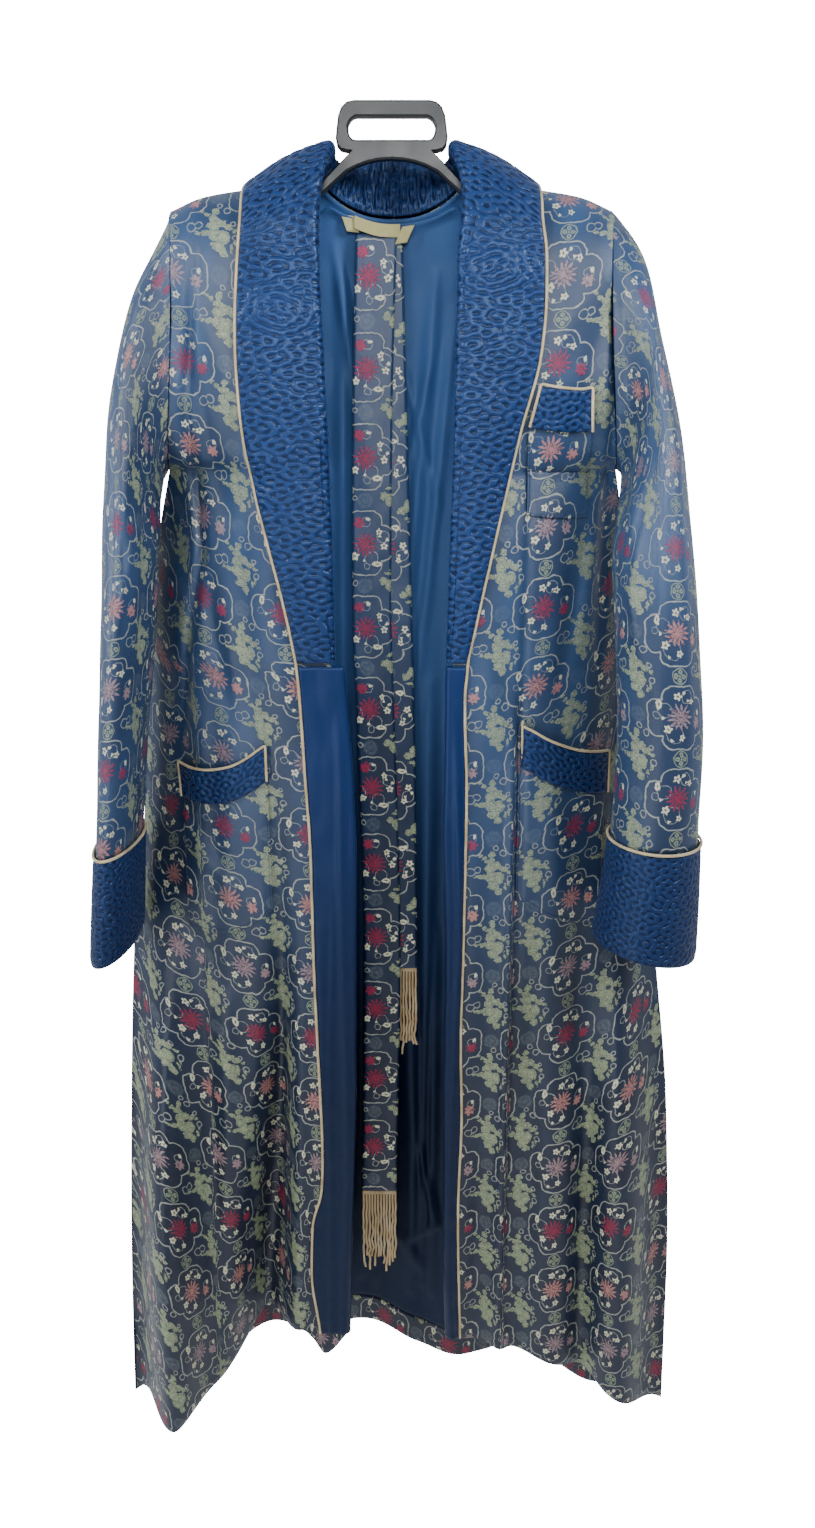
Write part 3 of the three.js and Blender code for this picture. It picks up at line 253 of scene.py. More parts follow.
def flat_area(points):
    """Area of one side of a grid, in square metres."""
    a, b, c, d = points[:-1, :-1], points[:-1, 1:], points[1:, 1:], points[1:, :-1]
    cross = np.cross(c - a, d - b)
    return float(np.linalg.norm(cross, axis=-1).sum() / 2 * MM * MM)


def wall_piece(name, points, thickness, inward, uv, finishes, tube=False, rise=0.0):
    """A closed wall on a grid of points. inward is the sign of (along the row) x (down)."""
    rows, cols = points.shape[:2]
    normal = grid_normals(points, tube) * inward
    outer = points - normal * np.asarray(rise)[..., None]
    inner = points + normal * thickness
    wide = cols if tube else cols - 1
    i, j = (v.ravel() for v in np.meshgrid(np.arange(rows - 1), np.arange(wide), indexing="ij"))
    across, down, last = np.arange(wide), np.arange(rows - 1), cols - 1

    def quads(*corners):
        """Each corner is (row, column, 0 outside or 1 inside), all of one length."""
        count = len(np.atleast_1d(corners[0][0] + corners[0][1]))
        full = [[np.broadcast_to(np.asarray(v), count) for v in corner] for corner in corners]
        index = [r * cols + c % cols + rows * cols * side for r, c, side in full]
        place = [uv[r, np.minimum(c, uv.shape[1] - 1)] for r, c, side in full]
        return np.stack(index, -1), np.stack(place, 1)

    parts = [
        quads((i, j, 0), (i, j + 1, 0), (i + 1, j + 1, 0), (i + 1, j, 0)),
        quads((i, j, 1), (i + 1, j, 1), (i + 1, j + 1, 1), (i, j + 1, 1)),
        quads((0, across, 0), (0, across, 1), (0, across + 1, 1), (0, across + 1, 0)),
        quads((rows - 1, across, 0), (rows - 1, across + 1, 0),
              (rows - 1, across + 1, 1), (rows - 1, across, 1)),
    ]
    if not tube:
        parts.append(quads((down, 0, 0), (down + 1, 0, 0), (down + 1, 0, 1), (down, 0, 1)))
        parts.append(quads((down, last, 0), (down, last, 1), (down + 1, last, 1), (down + 1, last, 0)))
    faces = np.concatenate([part[0] for part in parts])
    corner_uv = np.concatenate([part[1] for part in parts])
    if inward > 0:
        faces, corner_uv = faces[:, ::-1], corner_uv[:, ::-1]
    mesh = bpy.data.meshes.new(name)
    vertices = np.concatenate([outer.reshape(-1, 3), inner.reshape(-1, 3)]) * MM
    mesh.from_pydata(vertices.tolist(), [], faces.tolist())
    layer = mesh.uv_layers.new(name="cloth")
    layer.data.foreach_set("uv", corner_uv.reshape(-1).astype(np.float32))
    for finish in finishes:
        mesh.materials.append(finish)
    inside = np.zeros(len(faces), np.int32)
    inside[len(i) : 2 * len(i)] = len(finishes) - 1
    mesh.polygons.foreach_set("material_index", inside)
    mesh.polygons.foreach_set("use_smooth", np.ones(len(faces), bool))
    mesh.update()
    return add_object(name, mesh)


def sew_on(piece, node):
    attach(piece, "root")
    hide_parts(node)


def report(name, points, piece):
    wide, long = measure(points)
    print(f"{name}: {len(piece.data.polygons)} faces, {wide.max():.0f} x {long.max():.0f} mm,"
          f" {flat_area(points):.4f} m2")


def lay_out(piece, name, points):
    """Gives a piece's flat size and area. size is from measure."""
    flat_area(points)
    report(name, points, piece)


def swell(x, z, seed, reach=60.0):
    """Soft unevenness of hanging silk, about -1 to 1, the same each run."""
    pick = np.random.default_rng(seed)
    total = 0.0
    for k in range(7):
        angle, phase = pick.uniform(0, math.pi), pick.uniform(0, 6.3)
        step = 2 * math.pi / (reach * pick.uniform(0.45, 1.6))
        total = total + np.sin(step * (x * math.cos(angle) + 0.55 * z * math.sin(angle)) + phase)
    return total / 4.2


def crease(x, z, rows):
    """Soft creases from a list. Each row runs from one place to another."""
    total = 0.0
    for x0, z0, x1, z1, width, height in rows:
        dx, dz = x1 - x0, z1 - z0
        length = dx * dx + dz * dz
        t = np.clip(((x - x0) * dx + (z - z0) * dz) / length, 0, 1)
        gap = np.hypot(x - x0 - t * dx, z - z0 - t * dz)
        fade = np.sin(np.pi * np.clip(0.12 + 0.76 * t, 0, 1))
        total = total + height * fade * np.exp(-((gap / width) ** 2))
    return total


print("cloth helpers ready")


# %% [markdown]
# ## Node helpers
# A woven figure is drawn with sums: how far a point is from a petal, a ring or a rounded
# square. Hundreds of Math nodes are hard to read, so `Wire` lets the sums be written as
# ordinary arithmetic and places the nodes for us.


# %% Wire: arithmetic that places nodes
class Wire:
    def __init__(self, tree, socket):
        self.tree, self.socket = tree, socket

    def math(self, operation, *others, clamp=False):
        node = self.tree.nodes.new("ShaderNodeMath")
        node.operation = operation
        node.use_clamp = clamp
        for slot, value in zip(node.inputs, (self, *others)):
            if isinstance(value, Wire):
                self.tree.links.new(value.socket, slot)
            else:
                slot.default_value = value
        return Wire(self.tree, node.outputs[0])

    def __add__(self, other):
        return self.math("ADD", other)

    def __sub__(self, other):
        return self.math("SUBTRACT", other)

    def __mul__(self, other):
        return self.math("MULTIPLY", other)

    def scaled(self, by, plus):
        return self.math("MULTIPLY_ADD", by, plus)

    def floor(self):
        return self.math("FLOOR")

    def abs(self):
        return self.math("ABSOLUTE")

    def cos(self):
        return self.math("COSINE")

    def least(self, other):
        return self.math("MINIMUM", other)

    def most(self, other):
        return self.math("MAXIMUM", other)

    def below(self, edge, soft=0.5):
        """1 where the value is under the edge, fading to 0 over soft."""
        return self.math("MULTIPLY_ADD", -1 / soft, edge / soft + 0.5, clamp=True)


def smooth_step(wire, low, high):
    """0 below low, 1 above high, smooth between."""
    node = wire.tree.nodes.new("ShaderNodeMapRange")
    node.interpolation_type = "SMOOTHSTEP"
    node.inputs["From Min"].default_value, node.inputs["From Max"].default_value = low, high
    wire.tree.links.new(wire.socket, node.inputs["Value"])
    return Wire(wire.tree, node.outputs["Result"])


def distance(x, y, cx=0.0, cy=0.0, rx=1.0, ry=1.0):
    """How far (x, y) is from a centre, in widths of an ellipse."""
    dx = x.scaled(1 / rx, -cx / rx) if cx or rx != 1 else x
    dy = y.scaled(1 / ry, -cy / ry) if cy or ry != 1 else y
    return (dx * dx).math("ADD", dy * dy).math("SQRT")


def angle_at(x, y, cx=0.0, cy=0.0):
    return (y - cy).math("ARCTAN2", x - cx)


def shader_group(name, inputs, outputs):
    tree = bpy.data.node_groups.new(name, "ShaderNodeTree")
    for label, kind in inputs:
        tree.interface.new_socket(label, in_out="INPUT", socket_type="NodeSocket" + kind)
    for label, kind in outputs:
        tree.interface.new_socket(label, in_out="OUTPUT", socket_type="NodeSocket" + kind)
    start, end = tree.nodes.new("NodeGroupInput"), tree.nodes.new("NodeGroupOutput")
    return tree, start, end


def mix(tree, factor, a, b):
    """A colour between a and b. Each is a colour or another colour socket."""
    node = tree.nodes.new("ShaderNodeMix")
    node.data_type = "RGBA"
    for slot, value in ((node.inputs[0], factor), (node.inputs[6], a), (node.inputs[7], b)):
        if isinstance(value, Wire):
            tree.links.new(value.socket, slot)
        elif isinstance(value, bpy.types.NodeSocket):
            tree.links.new(value, slot)
        elif isinstance(value, (int, float)):
            slot.default_value = value
        else:
            slot.default_value = (*value, 1)
    return node.outputs[2]


def paint(red, green, blue):
    """A colour given in the numbers of a paint chart, 0 to 255, as light."""
    channels = (red, green, blue)
    return tuple(((c / 255 + 0.055) / 1.055) ** 2.4 if c > 10 else c / 255 / 12.92 for c in channels)


def axes_of(tree, vector):
    """The x, y and z of a vector."""
    node = tree.nodes.new("ShaderNodeSeparateXYZ")
    tree.links.new(vector, node.inputs[0])
    return [Wire(tree, output) for output in node.outputs]


def noise(tree, vector, scale, detail=2.0):
    node = tree.nodes.new("ShaderNodeTexNoise")
    node.inputs["Scale"].default_value = scale
    node.inputs["Detail"].default_value = detail
    tree.links.new(vector, node.inputs["Vector"])
    return Wire(tree, node.outputs[0])


print("node helpers ready")

# %% [markdown]
# ## The woven figure
# The brocade repeats on a lattice, 80 mm by 71 mm. Each lattice point has a four-lobed
# medallion with a chrysanthemum, and the flower's silk changes from row to row. Half a row
# down sits a round rosette, and half a column across a lion-dog with a little cloud. Every
# shape is a distance, so it stays sharp however close the view is, and a fine noise makes
# the edges step like threads.

# %% Brocade figure
ACROSS, DOWN = 80.0, 71.0
THREADS = {
    "silver": paint(170, 174, 162),
    "sage": paint(160, 170, 134),
    "moss": paint(58, 72, 66),
    "cream": paint(220, 218, 186),
    "rosette": paint(142, 154, 124),
    "dim": paint(88, 98, 102),
    "crimson": paint(142, 22, 60),
    "salmon": paint(180, 124, 116),
    "mauve": paint(152, 126, 130),
}

brocade, start, end = shader_group(
    "Brocade figure", [("Vector", "Vector")], [("Color", "Color"), ("Figure", "Float"), ("Height", "Float")]
)
on_cloth = start.outputs["Vector"]
x, y = axes_of(brocade, on_cloth)[:2]
ragged = noise(brocade, on_cloth, 700, 1.0) - 0.5
mottle = noise(brocade, on_cloth, 330, 1.5) - 0.5
X = x * (1 / MM) + noise(brocade, on_cloth, 150, 1.0).scaled(3.4, -1.7)
Y = y * (1 / MM) + noise(brocade, on_cloth, 131, 1.0).scaled(3.4, -1.7)
row = Y.scaled(1 / DOWN, 0.5).floor()
on_x = X - X.scaled(1 / ACROSS, 0.5).floor() * ACROSS
on_y = Y - row * DOWN
half_x = X - X.scaled(1 / ACROSS, 0).floor().scaled(ACROSS, ACROSS / 2)
half_y = Y - Y.scaled(1 / DOWN, 0).floor().scaled(DOWN, DOWN / 2)


def rounded_box(x, y, half_wide, half_high, corner):
    dx = (x.abs() - (half_wide - corner)).most(0)
    dy = (y.abs() - (half_high - corner)).most(0)
    return distance(dx, dy) - corner


def union(shapes):
    shapes = list(shapes)
    for shape in shapes[1:]:
        shapes[0] = shapes[0].least(shape)
    return shapes[0]


def blossom(x, y, cx, cy, radius, petals, depth):
    """Below 0 inside a round flower with petals."""
    lobes = (angle_at(x, y, cx, cy) * petals).cos().scaled(depth, radius)
    return distance(x, y, cx, cy) - lobes


def oval(x, y, cx, cy, wide, high):
    return (distance(x, y, cx, cy, wide, high) - 1) * min(wide, high)


medallion = rounded_box(on_x, on_y, 30, 16, 9.5).least(rounded_box(on_x, on_y, 17, 27, 10))
outline = (medallion + ragged * 0.6).abs().below(0.6, 0.6)
big = blossom(on_x, on_y, -1, 0.5, 8.6, 13, 3.2) + ragged * 3.0
core = blossom(on_x, on_y, -1, 0.5, 4.6, 8, 1.6) + ragged * 2.0
small = blossom(on_x, on_y, 19.5, -5.5, 4.9, 7, 0.9) + ragged * 1.6
flower = big.below(0, 0.7).most(small.below(0, 0.7))
flower_shade = core.abs().below(0.7, 0.7).most(mottle.below(-0.1, 0.08)) * 0.75
BUDS = [
    # across, up, radius, petals
    (-2.8, 18.2, 3.1, 5), (3.2, 21, 1.6, 3), (11, 13.4, 2.6, 5), (-12, -9.4, 3.2, 5), (0.6, -16.8, 2.7, 5),
    (-8.6, -19.6, 1.4, 3), (-16.2, -0.4, 1.3, 3), (6.6, 14.6, 1.3, 3),
]
buds = union([blossom(on_x, on_y, cx, cy, r, n, 0.22 * r) for cx, cy, r, n in BUDS])
buds = union([buds, oval(on_x, on_y, -19.5, 11.4, 2.5, 4.3), oval(on_x, on_y, 22.4, 3, 1.6, 2.4)])
pips = union([distance(on_x, on_y, cx, cy) - r * 0.36 for cx, cy, r, n in BUDS if n == 5])
pips = pips.least(oval(on_x, on_y, -19.5, 11.4, 0.7, 1.9))
buds = (buds + ragged * 1.3).below(0, 0.5) * pips.below(0, 0.4).scaled(-0.8, 1)
STEMS = [
    # an arc: across, up, radius
    (-6, -14, 7.5), (6, 17.5, 5.5), (-14, 6.5, 6.0), (20, 0.8, 4.2), (-21.5, 1.8, 3.0),
]
stems = union([(distance(on_x, on_y, cx, cy) - radius).abs() for cx, cy, radius in STEMS])
stems = (stems + ragged * 0.9).below(0.32, 0.4) * medallion.below(-3, 1.0) * big.below(0, 1).scaled(-1, 1)
print("medallion drawn:", len(brocade.nodes), "nodes")

# %% Rosettes
reach = distance(on_x, half_y)
PETALS = [(0, 3.6), (0, -3.6), (3.6, 0), (-3.6, 0)]
petals = union([distance(on_x, half_y, cx, cy) - 2.1 for cx, cy in PETALS])
rosette = (petals + ragged * 0.8).below(0, 0.5).most((reach - 6.7).abs().below(0.45, 0.5))
rosette = rosette.most(reach.below(1.0, 0.4)) * petals.below(-1.3, 0.4).scaled(-0.55, 1)
far = distance(half_x, on_y)
faint = (far + ragged * 1.4).below(7.4, 1.5) * (mottle * 1.6).scaled(1, 0.62)
faint = faint * (far - 3.6).abs().below(0.5, 0.5).scaled(-0.5, 1)
print("rosettes drawn:", len(brocade.nodes), "nodes")

# %% Lion-dog and its cloud
BEAST = [
    # across, up, half width, half height
    (-1.5, 19.5, 3.3, 3.6), (-12.6, 20.0, 2.4, 1.8), (-9.0, 16.4, 2.6, 2.4), (-3.0, 13.2, 4.8, 3.2),
    (3.0, 8.4, 5.4, 4.0), (9.4, 4.8, 4.2, 3.0), (14.6, 2.0, 2.4, 2.0), (-3.2, 5.6, 5.2, 5.0),
    (-2.4, -2.6, 6.2, 5.6), (5.0, -4.6, 5.4, 6.4), (-10.6, -1.6, 4.4, 2.6), (-16.6, -1.2, 2.4, 1.7),
    (0.0, -11.6, 5.6, 4.6), (4.4, -17.6, 3.8, 4.0), (11.4, -13.0, 1.6, 3.6), (14.4, -9.0, 1.4, 3.2),
]
CURLS = [
    # an outlined ring: across, up, radius
    (-21.8, 3.6, 3.9), (-15.6, 5.6, 3.3), (2.2, 26.0, 2.2), (8.8, 20.6, 2.9), (15.8, -4.6, 2.6),
    (13.6, 8.0, 1.8),
]
lumps = union([oval(half_x, half_y, *lump) for lump in BEAST])
beast = (lumps + ragged * 2.2 + mottle * 3.0).below(-0.2, 0.6)
beast_shade = (mottle + ragged * 0.35).abs().below(0.03, 0.04)
beast_shade = beast_shade.most((lumps + 1.6).abs().below(0.35, 0.6) * 0.55)
curls = union([distance(half_x, half_y, cx, cy) - radius for cx, cy, radius in CURLS])
curls = (curls + ragged * 0.7).abs().below(0.5, 0.5)

wheel = brocade.nodes.new("ShaderNodeValToRGB")
wheel.color_ramp.interpolation = "CONSTANT"
wheel.color_ramp.elements[0].color = (*THREADS["crimson"], 1)
wheel.color_ramp.elements[1].position = 0.2
wheel.color_ramp.elements[1].color = (*THREADS["mauve"], 1)
third = wheel.color_ramp.elements.new(0.5)
third.color = (*THREADS["salmon"], 1)
thirds = row * (1 / 3)
brocade.links.new((thirds - thirds.floor()).socket, wheel.inputs[0])

tone = noise(brocade, on_cloth, 42, 3.0)
colour = mix(brocade, tone, paint(12, 22, 42), paint(23, 40, 66))
beast_silk = mix(brocade, beast_shade * 0.8, THREADS["sage"], THREADS["moss"])
flower_silk = mix(brocade, flower_shade, wheel.outputs[0], paint(46, 26, 46))
for mask, strength, silk in (
    (medallion.below(0, 0.5), 0.3, paint(14, 18, 38)),
    (faint, 0.75, THREADS["dim"]),
    (beast, 0.92, beast_silk),
    (curls, 0.7, THREADS["silver"]),
    (rosette, 0.85, THREADS["rosette"]),
    (outline, 0.85, THREADS["silver"]),
    (stems, 0.75, THREADS["silver"]),
    (flower, 0.95, flower_silk),
    (buds, 0.95, THREADS["cream"]),
):
    colour = mix(brocade, mask * strength, colour, silk)
figure = union([(w * -1) for w in (beast, curls, rosette, outline, flower, buds)]) * -1
brocade.links.new(colour, end.inputs["Color"])
brocade.links.new(figure.socket, end.inputs["Figure"])
brocade.links.new((figure + ragged * 0.25).socket, end.inputs["Height"])
print("brocade drawn:", len(brocade.nodes), "nodes")

# %% [markdown]
# ## Threads and quilting
# Two more effects are shared. `Threads` is the fine ribbing of a satin weave. `Quilting` is
# wandering "worm" stitching: waves of one length, added from several directions, make
# raised worms that wind about and keep an even distance. The same sum is worked out here in
# Python, where it lifts the padded cloth for real, and in nodes, where it shades the stitch.

# %% Threads
threads, start, end = shader_group(
    "Threads", [("Vector", "Vector")], [("Height", "Float"), ("Tone", "Float")]
)
x, y = axes_of(threads, start.outputs["Vector"])[:2]
warp, weft = (x * 7400).math("SINE"), (y * 3900).math("SINE")
slub = noise(threads, start.outputs["Vector"], 160, 3.0)
threads.links.new((warp * 0.5 + weft * 0.35 + slub * 1.6).socket, end.inputs["Height"])
threads.links.new(slub.socket, end.inputs["Tone"])
print("threads:", len(threads.nodes), "nodes")

# %% Quilting
WORM = 5.2  # mm, from one raised worm to the next
RING = 25.0  # mm, radius of the round stitched figure on the collar
RING_STEP = 6.2  # mm, from one of its rings to the next
SUNK, RAISED = -0.85, 0.4  # where the cloth is sewn down, and where it stands full
pick = np.random.default_rng(11)
way = np.linspace(0, math.pi, 8, endpoint=False) + pick.uniform(-0.14, 0.14, 8)
HEADINGS = [
    (0.74 * math.cos(a) * 2 * math.pi / WORM, math.sin(a) * 2 * math.pi / WORM, p)
    for a, p in zip(way, pick.uniform(0, 6.3, 8))
]


def padding(x, y):
    """How far padded cloth stands up at a place in mm: 0 on the stitches, 1 between."""
    wander = sum(np.cos(kx * x + ky * y + phase) for kx, ky, phase in HEADINGS) / 2
    far, turn = np.hypot(x, y), np.arctan2(y, x)
    rings = 0.6 * np.cos(far * 2 * math.pi / RING_STEP + 0.4 * np.cos(6 * turn)) + 0.4 * wander
    inside = np.clip((RING - far) / 6 + 0.5, 0, 1)
    return ramp(lerp(wander, rings, inside), SUNK, RAISED)


quilting, start, end = shader_group(
    "Quilting", [("Vector", "Vector")], [("Height", "Float"), ("Stitch", "Float")]
)
X, Y = (axis * (1 / MM) for axis in axes_of(quilting, start.outputs["Vector"])[:2])
wander = None
for kx, ky, phase in HEADINGS:
    wave = X.scaled(kx, phase).math("ADD", Y * ky).cos()
    wander = wave if wander is None else wander + wave
far = distance(X, Y)
turn = angle_at(X, Y)
wander = wander * 0.5
rings = (far * (2 * math.pi / RING_STEP)).math("ADD", (turn * 6).cos() * 0.4).cos() * 0.6 + wander * 0.4
inside = far.below(RING, 6.0)
field = wander * inside.scaled(-1, 1) + rings * inside
quilting.links.new(smooth_step(field, SUNK, RAISED).socket, end.inputs["Height"])
quilting.links.new(smooth_step(field * -1, 0.85, 1.25).socket, end.inputs["Stitch"])
print("quilting:", len(quilting.nodes), "nodes")

# %% [markdown]
# ## Painted light
# Lit silk looks paler where the light reaches it, at the shoulders and breast, so the colour
# there is painted paler, in soft upright streaks of painted sheen. This group turns a place
# on the gown into a mask, 1 at the shoulders and 0 towards the hem, and every cloth finish uses it.

# %% Painted light
painted_light_group, start, end = shader_group("Painted light", [("Vector", "Vector")], [("Mask", "Float"), ("Streaks", "Float")])
axes = axes_of(painted_light_group, start.outputs["Vector"])
upright = painted_light_group.nodes.new("ShaderNodeCombineXYZ")
for axis, size, slot in zip(axes, (21.0, 12.0, 5.0), upright.inputs):
    painted_light_group.links.new((axis * size).socket, slot)
# Painted sheen: soft upright streaks where the colour is painted paler.
streaks = smooth_step(noise(painted_light_group, upright.outputs[0], 1.0, 2.0), 0.36, 0.66)
# Painted light: 1 high on the gown, fading to 0 towards the hem.
height = smooth_step(axes[2], -0.98, -0.36)
painted_light_group.links.new(height.socket, end.inputs["Mask"])
painted_light_group.links.new((streaks * height).socket, end.inputs["Streaks"])
print("bloom:", len(painted_light_group.nodes), "nodes")

# %% [markdown]
# ## Finishes
# Each finish is one Principled surface fed by the groups above. Silk is smooth with a cool
# bloom at grazing angles, which is what Sheen is for. The figure's threads lie a little
# higher and rougher than the satin ground.


# %% Finish helpers
def new_finish(name, roughness, sheen=0.0, tint=(1, 1, 1), sheen_roughness=0.4, specular=0.5):
    material = bpy.data.materials.new(name)
    material.use_nodes = True
    tree = material.node_tree
    surface = tree.nodes["Principled BSDF"]
    surface.inputs["Roughness"].default_value = roughness
    surface.inputs["Specular IOR Level"].default_value = specular
    surface.inputs["Sheen Weight"].default_value = sheen
    surface.inputs["Sheen Roughness"].default_value = sheen_roughness
    surface.inputs["Sheen Tint"].default_value = (*tint, 1)
    return material, tree, surface


def use_group(tree, group, vector):
    node = tree.nodes.new("ShaderNodeGroup")
    node.node_tree = group
    tree.links.new(vector, node.inputs["Vector"])
    return node


def cloth_map(tree):
    node = tree.nodes.new("ShaderNodeUVMap")
    node.uv_map = "cloth"
    return node.outputs["UV"]


def object_place(tree):
    return tree.nodes.new("ShaderNodeTexCoord").outputs["Object"]


def relief(tree, surface, layers):
    """Bumps on bumps: each layer is (height socket, depth in metres, strength)."""
    last = None
    for height, depth, strength in layers:
        node = tree.nodes.new("ShaderNodeBump")
        node.inputs["Distance"].default_value = depth
        node.inputs["Strength"].default_value = strength
        tree.links.new(height, node.inputs["Height"])
        if last is not None:
            tree.links.new(last, node.inputs["Normal"])
        last = node.outputs["Normal"]
    tree.links.new(last, surface.inputs["Normal"])


# %% Brocade and satins
def make_brocade(name, paler, gain=1.0):
    material, tree, surface = new_finish(name, 0.4, sheen=0.06, tint=(0.5, 0.66, 1.0), sheen_roughness=0.4)
    where = cloth_map(tree)
    drawn = use_group(tree, brocade, where)
    fine = use_group(tree, threads, where)
    painted_light_node = use_group(tree, painted_light_group, object_place(tree))
    tone = Wire(tree, fine.outputs["Tone"]).scaled(0.25, 0.02)
    colour = mix(tree, tone, drawn.outputs["Color"], paint(14, 20, 38))
    # Painted light: high on the gown and in upright streaks, the colour is painted paler and hazier towards
    # paint(52, 80, 120), less on the figure.
    painted_haze = Wire(tree, painted_light_node.outputs["Mask"]) * (0.36 * paler)
    painted_haze = painted_haze + Wire(tree, painted_light_node.outputs["Streaks"]) * (0.46 * paler)
    painted_haze = painted_haze * Wire(tree, drawn.outputs["Figure"]).scaled(-0.62, 1.0)
    # Painted light: gain scales the whole colour up, standing in for light where the cloth lies in shade.
    painted_light_gain = tree.nodes.new("ShaderNodeVectorMath")
    painted_light_gain.operation = "SCALE"
    painted_light_gain.inputs["Scale"].default_value = gain
    tree.links.new(mix(tree, painted_haze, colour, paint(52, 80, 120)), painted_light_gain.inputs[0])
    tree.links.new(painted_light_gain.outputs[0], surface.inputs["Base Color"])
    rough = Wire(tree, drawn.outputs["Figure"]).scaled(0.12, 0.38)
    tree.links.new(rough.socket, surface.inputs["Roughness"])
    relief(tree, surface, [(drawn.outputs["Height"], 0.00035, 0.6), (fine.outputs["Height"], 0.00012, 0.35)])
    return material


def make_satin(name, dark, light, pale, quilted=False, roughness=0.33):
    material, tree, surface = new_finish(name, roughness, sheen=0.06, tint=(0.4, 0.6, 1.0), specular=0.34)
    surface.inputs["Specular Tint"].default_value = (0.55, 0.72, 1.0, 1)
    where = cloth_map(tree)
    fine = use_group(tree, threads, where)
    painted_light_node = use_group(tree, painted_light_group, object_place(tree))
    colour = mix(tree, Wire(tree, fine.outputs["Tone"]), dark, light)
    # Painted light: high on the gown and in upright streaks, the colour is painted towards pale, standing in
    # for lit, hazy satin.
    painted_haze = Wire(tree, painted_light_node.outputs["Mask"]) * 0.75 + Wire(tree, painted_light_node.outputs["Streaks"]) * 0.2
    colour = mix(tree, painted_haze, colour, pale)
    layers = [(fine.outputs["Height"], 0.0001, 0.3)]
    if quilted:
        sewn = use_group(tree, quilting, where)
        # Painted shade: where the quilting is sewn down the colour is painted darker, and darker still along
        # the stitch lines.
        painted_hollow_shade = Wire(tree, sewn.outputs["Height"]).scaled(-0.5, 0.5)
        colour = mix(tree, painted_hollow_shade, colour, dark)
        colour = mix(tree, Wire(tree, sewn.outputs["Stitch"]) * 0.5, colour, tuple(0.3 * c for c in dark))
        layers.insert(0, (sewn.outputs["Height"], 0.0008, 0.6))
    tree.links.new(colour, surface.inputs["Base Color"])
    relief(tree, surface, layers)
    return material


BROCADE = make_brocade("brocade", 1.0)
# Painted light: the belt brocade's colour is scaled up 1.9 times, standing in for light on the belt, which
# hangs in shade.
BELT_BROCADE = make_brocade("belt brocade", 0.45, gain=1.9)
# Painted light: the last colour of each satin is painted in high on the gown and in upright streaks.
LINING = make_satin("satin lining", paint(4, 11, 32), paint(8, 22, 56), paint(58, 94, 148), roughness=0.46)
SATIN = make_satin("facing satin", paint(4, 12, 34), paint(9, 24, 58), paint(20, 44, 92), roughness=0.38)
QUILTED = make_satin("quilted satin", paint(8, 18, 48), paint(16, 33, 74), paint(30, 56, 104), quilted=True)
print("brocade and satins ready")


# %% Piping, fringe, ribbon and plastic
def make_yarn(name, dark, light, roughness, pitch):
    """Twisted or bound yarn: a fine diagonal rib, with painted shade in its grooves, and a little soil."""
    material, tree, surface = new_finish(name, roughness, sheen=0.25, tint=(1.0, 0.95, 0.8))
    where = object_place(tree)
    x, y, z = axes_of(tree, where)
    rib = ((x + z + y) * (2 * math.pi / pitch)).math("SINE")
    soil = noise(tree, where, 55, 3.0)
    # Painted shade: the rib darkens the colour a little where it is low.
    shade = (soil * 1.3 + rib * 0.12).math("SUBTRACT", 0.2, clamp=True)
    tree.links.new(mix(tree, shade, dark, light), surface.inputs["Base Color"])
    relief(tree, surface, [(rib.socket, 0.00025, 0.5)])
    return material


PIPING = make_yarn("cream piping", paint(150, 128, 88), paint(228, 212, 174), 0.42, 0.0016)
FRINGE = make_yarn("tan fringe", paint(196, 152, 90), paint(255, 240, 200), 0.45, 0.0021)
RIBBON = make_yarn("cream ribbon", paint(186, 178, 116), paint(226, 218, 162), 0.5, 0.0011)

PLASTIC, tree, surface = new_finish("hanger plastic", 0.34)
where = object_place(tree)
wear = noise(tree, where, 38, 4.0)
grain = noise(tree, where, 900, 1.0)
tree.links.new(mix(tree, wear, paint(20, 23, 25), paint(38, 42, 45)), surface.inputs["Base Color"])
tree.links.new(wear.scaled(0.25, 0.24).socket, surface.inputs["Roughness"])
relief(tree, surface, [(grain.socket, 0.00008, 0.4)])
print("finishes:", [m.name for m in bpy.data.materials])

# %% [markdown]
# ## The body
# Both fronts and the back are cut from one shape. Along each panel `across` runs from 0 to
# 1 and `level` runs from the shoulder to the hem. The tables give the side seam, the front
# edge and the hem; the folds grow downwards from where the cloth first buckles, and the
# creases are listed one by one, no two alike.

# %% Body tables
SEAM, LAY, GAP = 0.4, 1.0, 0.6  # between panels, between layers, between armhole and sleeve
TOP, HEM = 60.0, 1240.0
ARM_TOP, UNDERARM = 74, 292  # drops of the armhole's two ends
ARM_DEEP, ARM_ROUND, SHOULDER_ROUND = 46, 80, 62
SIDE_LEFT = columns("drop out y", [
    (292, 204, 5), (340, 218, 24), (404, 231, 32), (500, 242, 35), (640, 251, 33),
    (760, 266, 26), (928, 274, 6), (1100, 281, -6), (1271, 285, -12),
])
SIDE_RIGHT = columns("drop out y", [
    (292, 204, 5), (340, 214, 17), (404, 223, 20), (500, 235, 26), (640, 250, 26),
    (760, 264, 16), (928, 282, 0), (1100, 289, -12), (1270, 288, -25),
])
EDGE_LEFT = columns("drop out y", [
    (47, 66, -30), (75, 68, -38), (112, 66, -42), (192, 63, -47), (275, 60.5, -49), (361, 58, -49),
    (462, 56.5, -47), (478, 45.5, -46), (577, 39, -42), (745, 39, -36), (969, 43, -28),
    (1119, 49, -24), (1240, 50.5, -20),
])
EDGE_RIGHT = columns("drop out y", [
    (47, 66, -30), (75, 68, -38), (112, 64, -42), (192, 60, -47), (275, 58, -49), (361, 56, -49),
    (462, 53, -47), (478, 50.5, -46), (592, 50, -44), (745, 53, -40), (969, 53, -32),
    (1136, 55, -24), (1240, 57, -16),
])
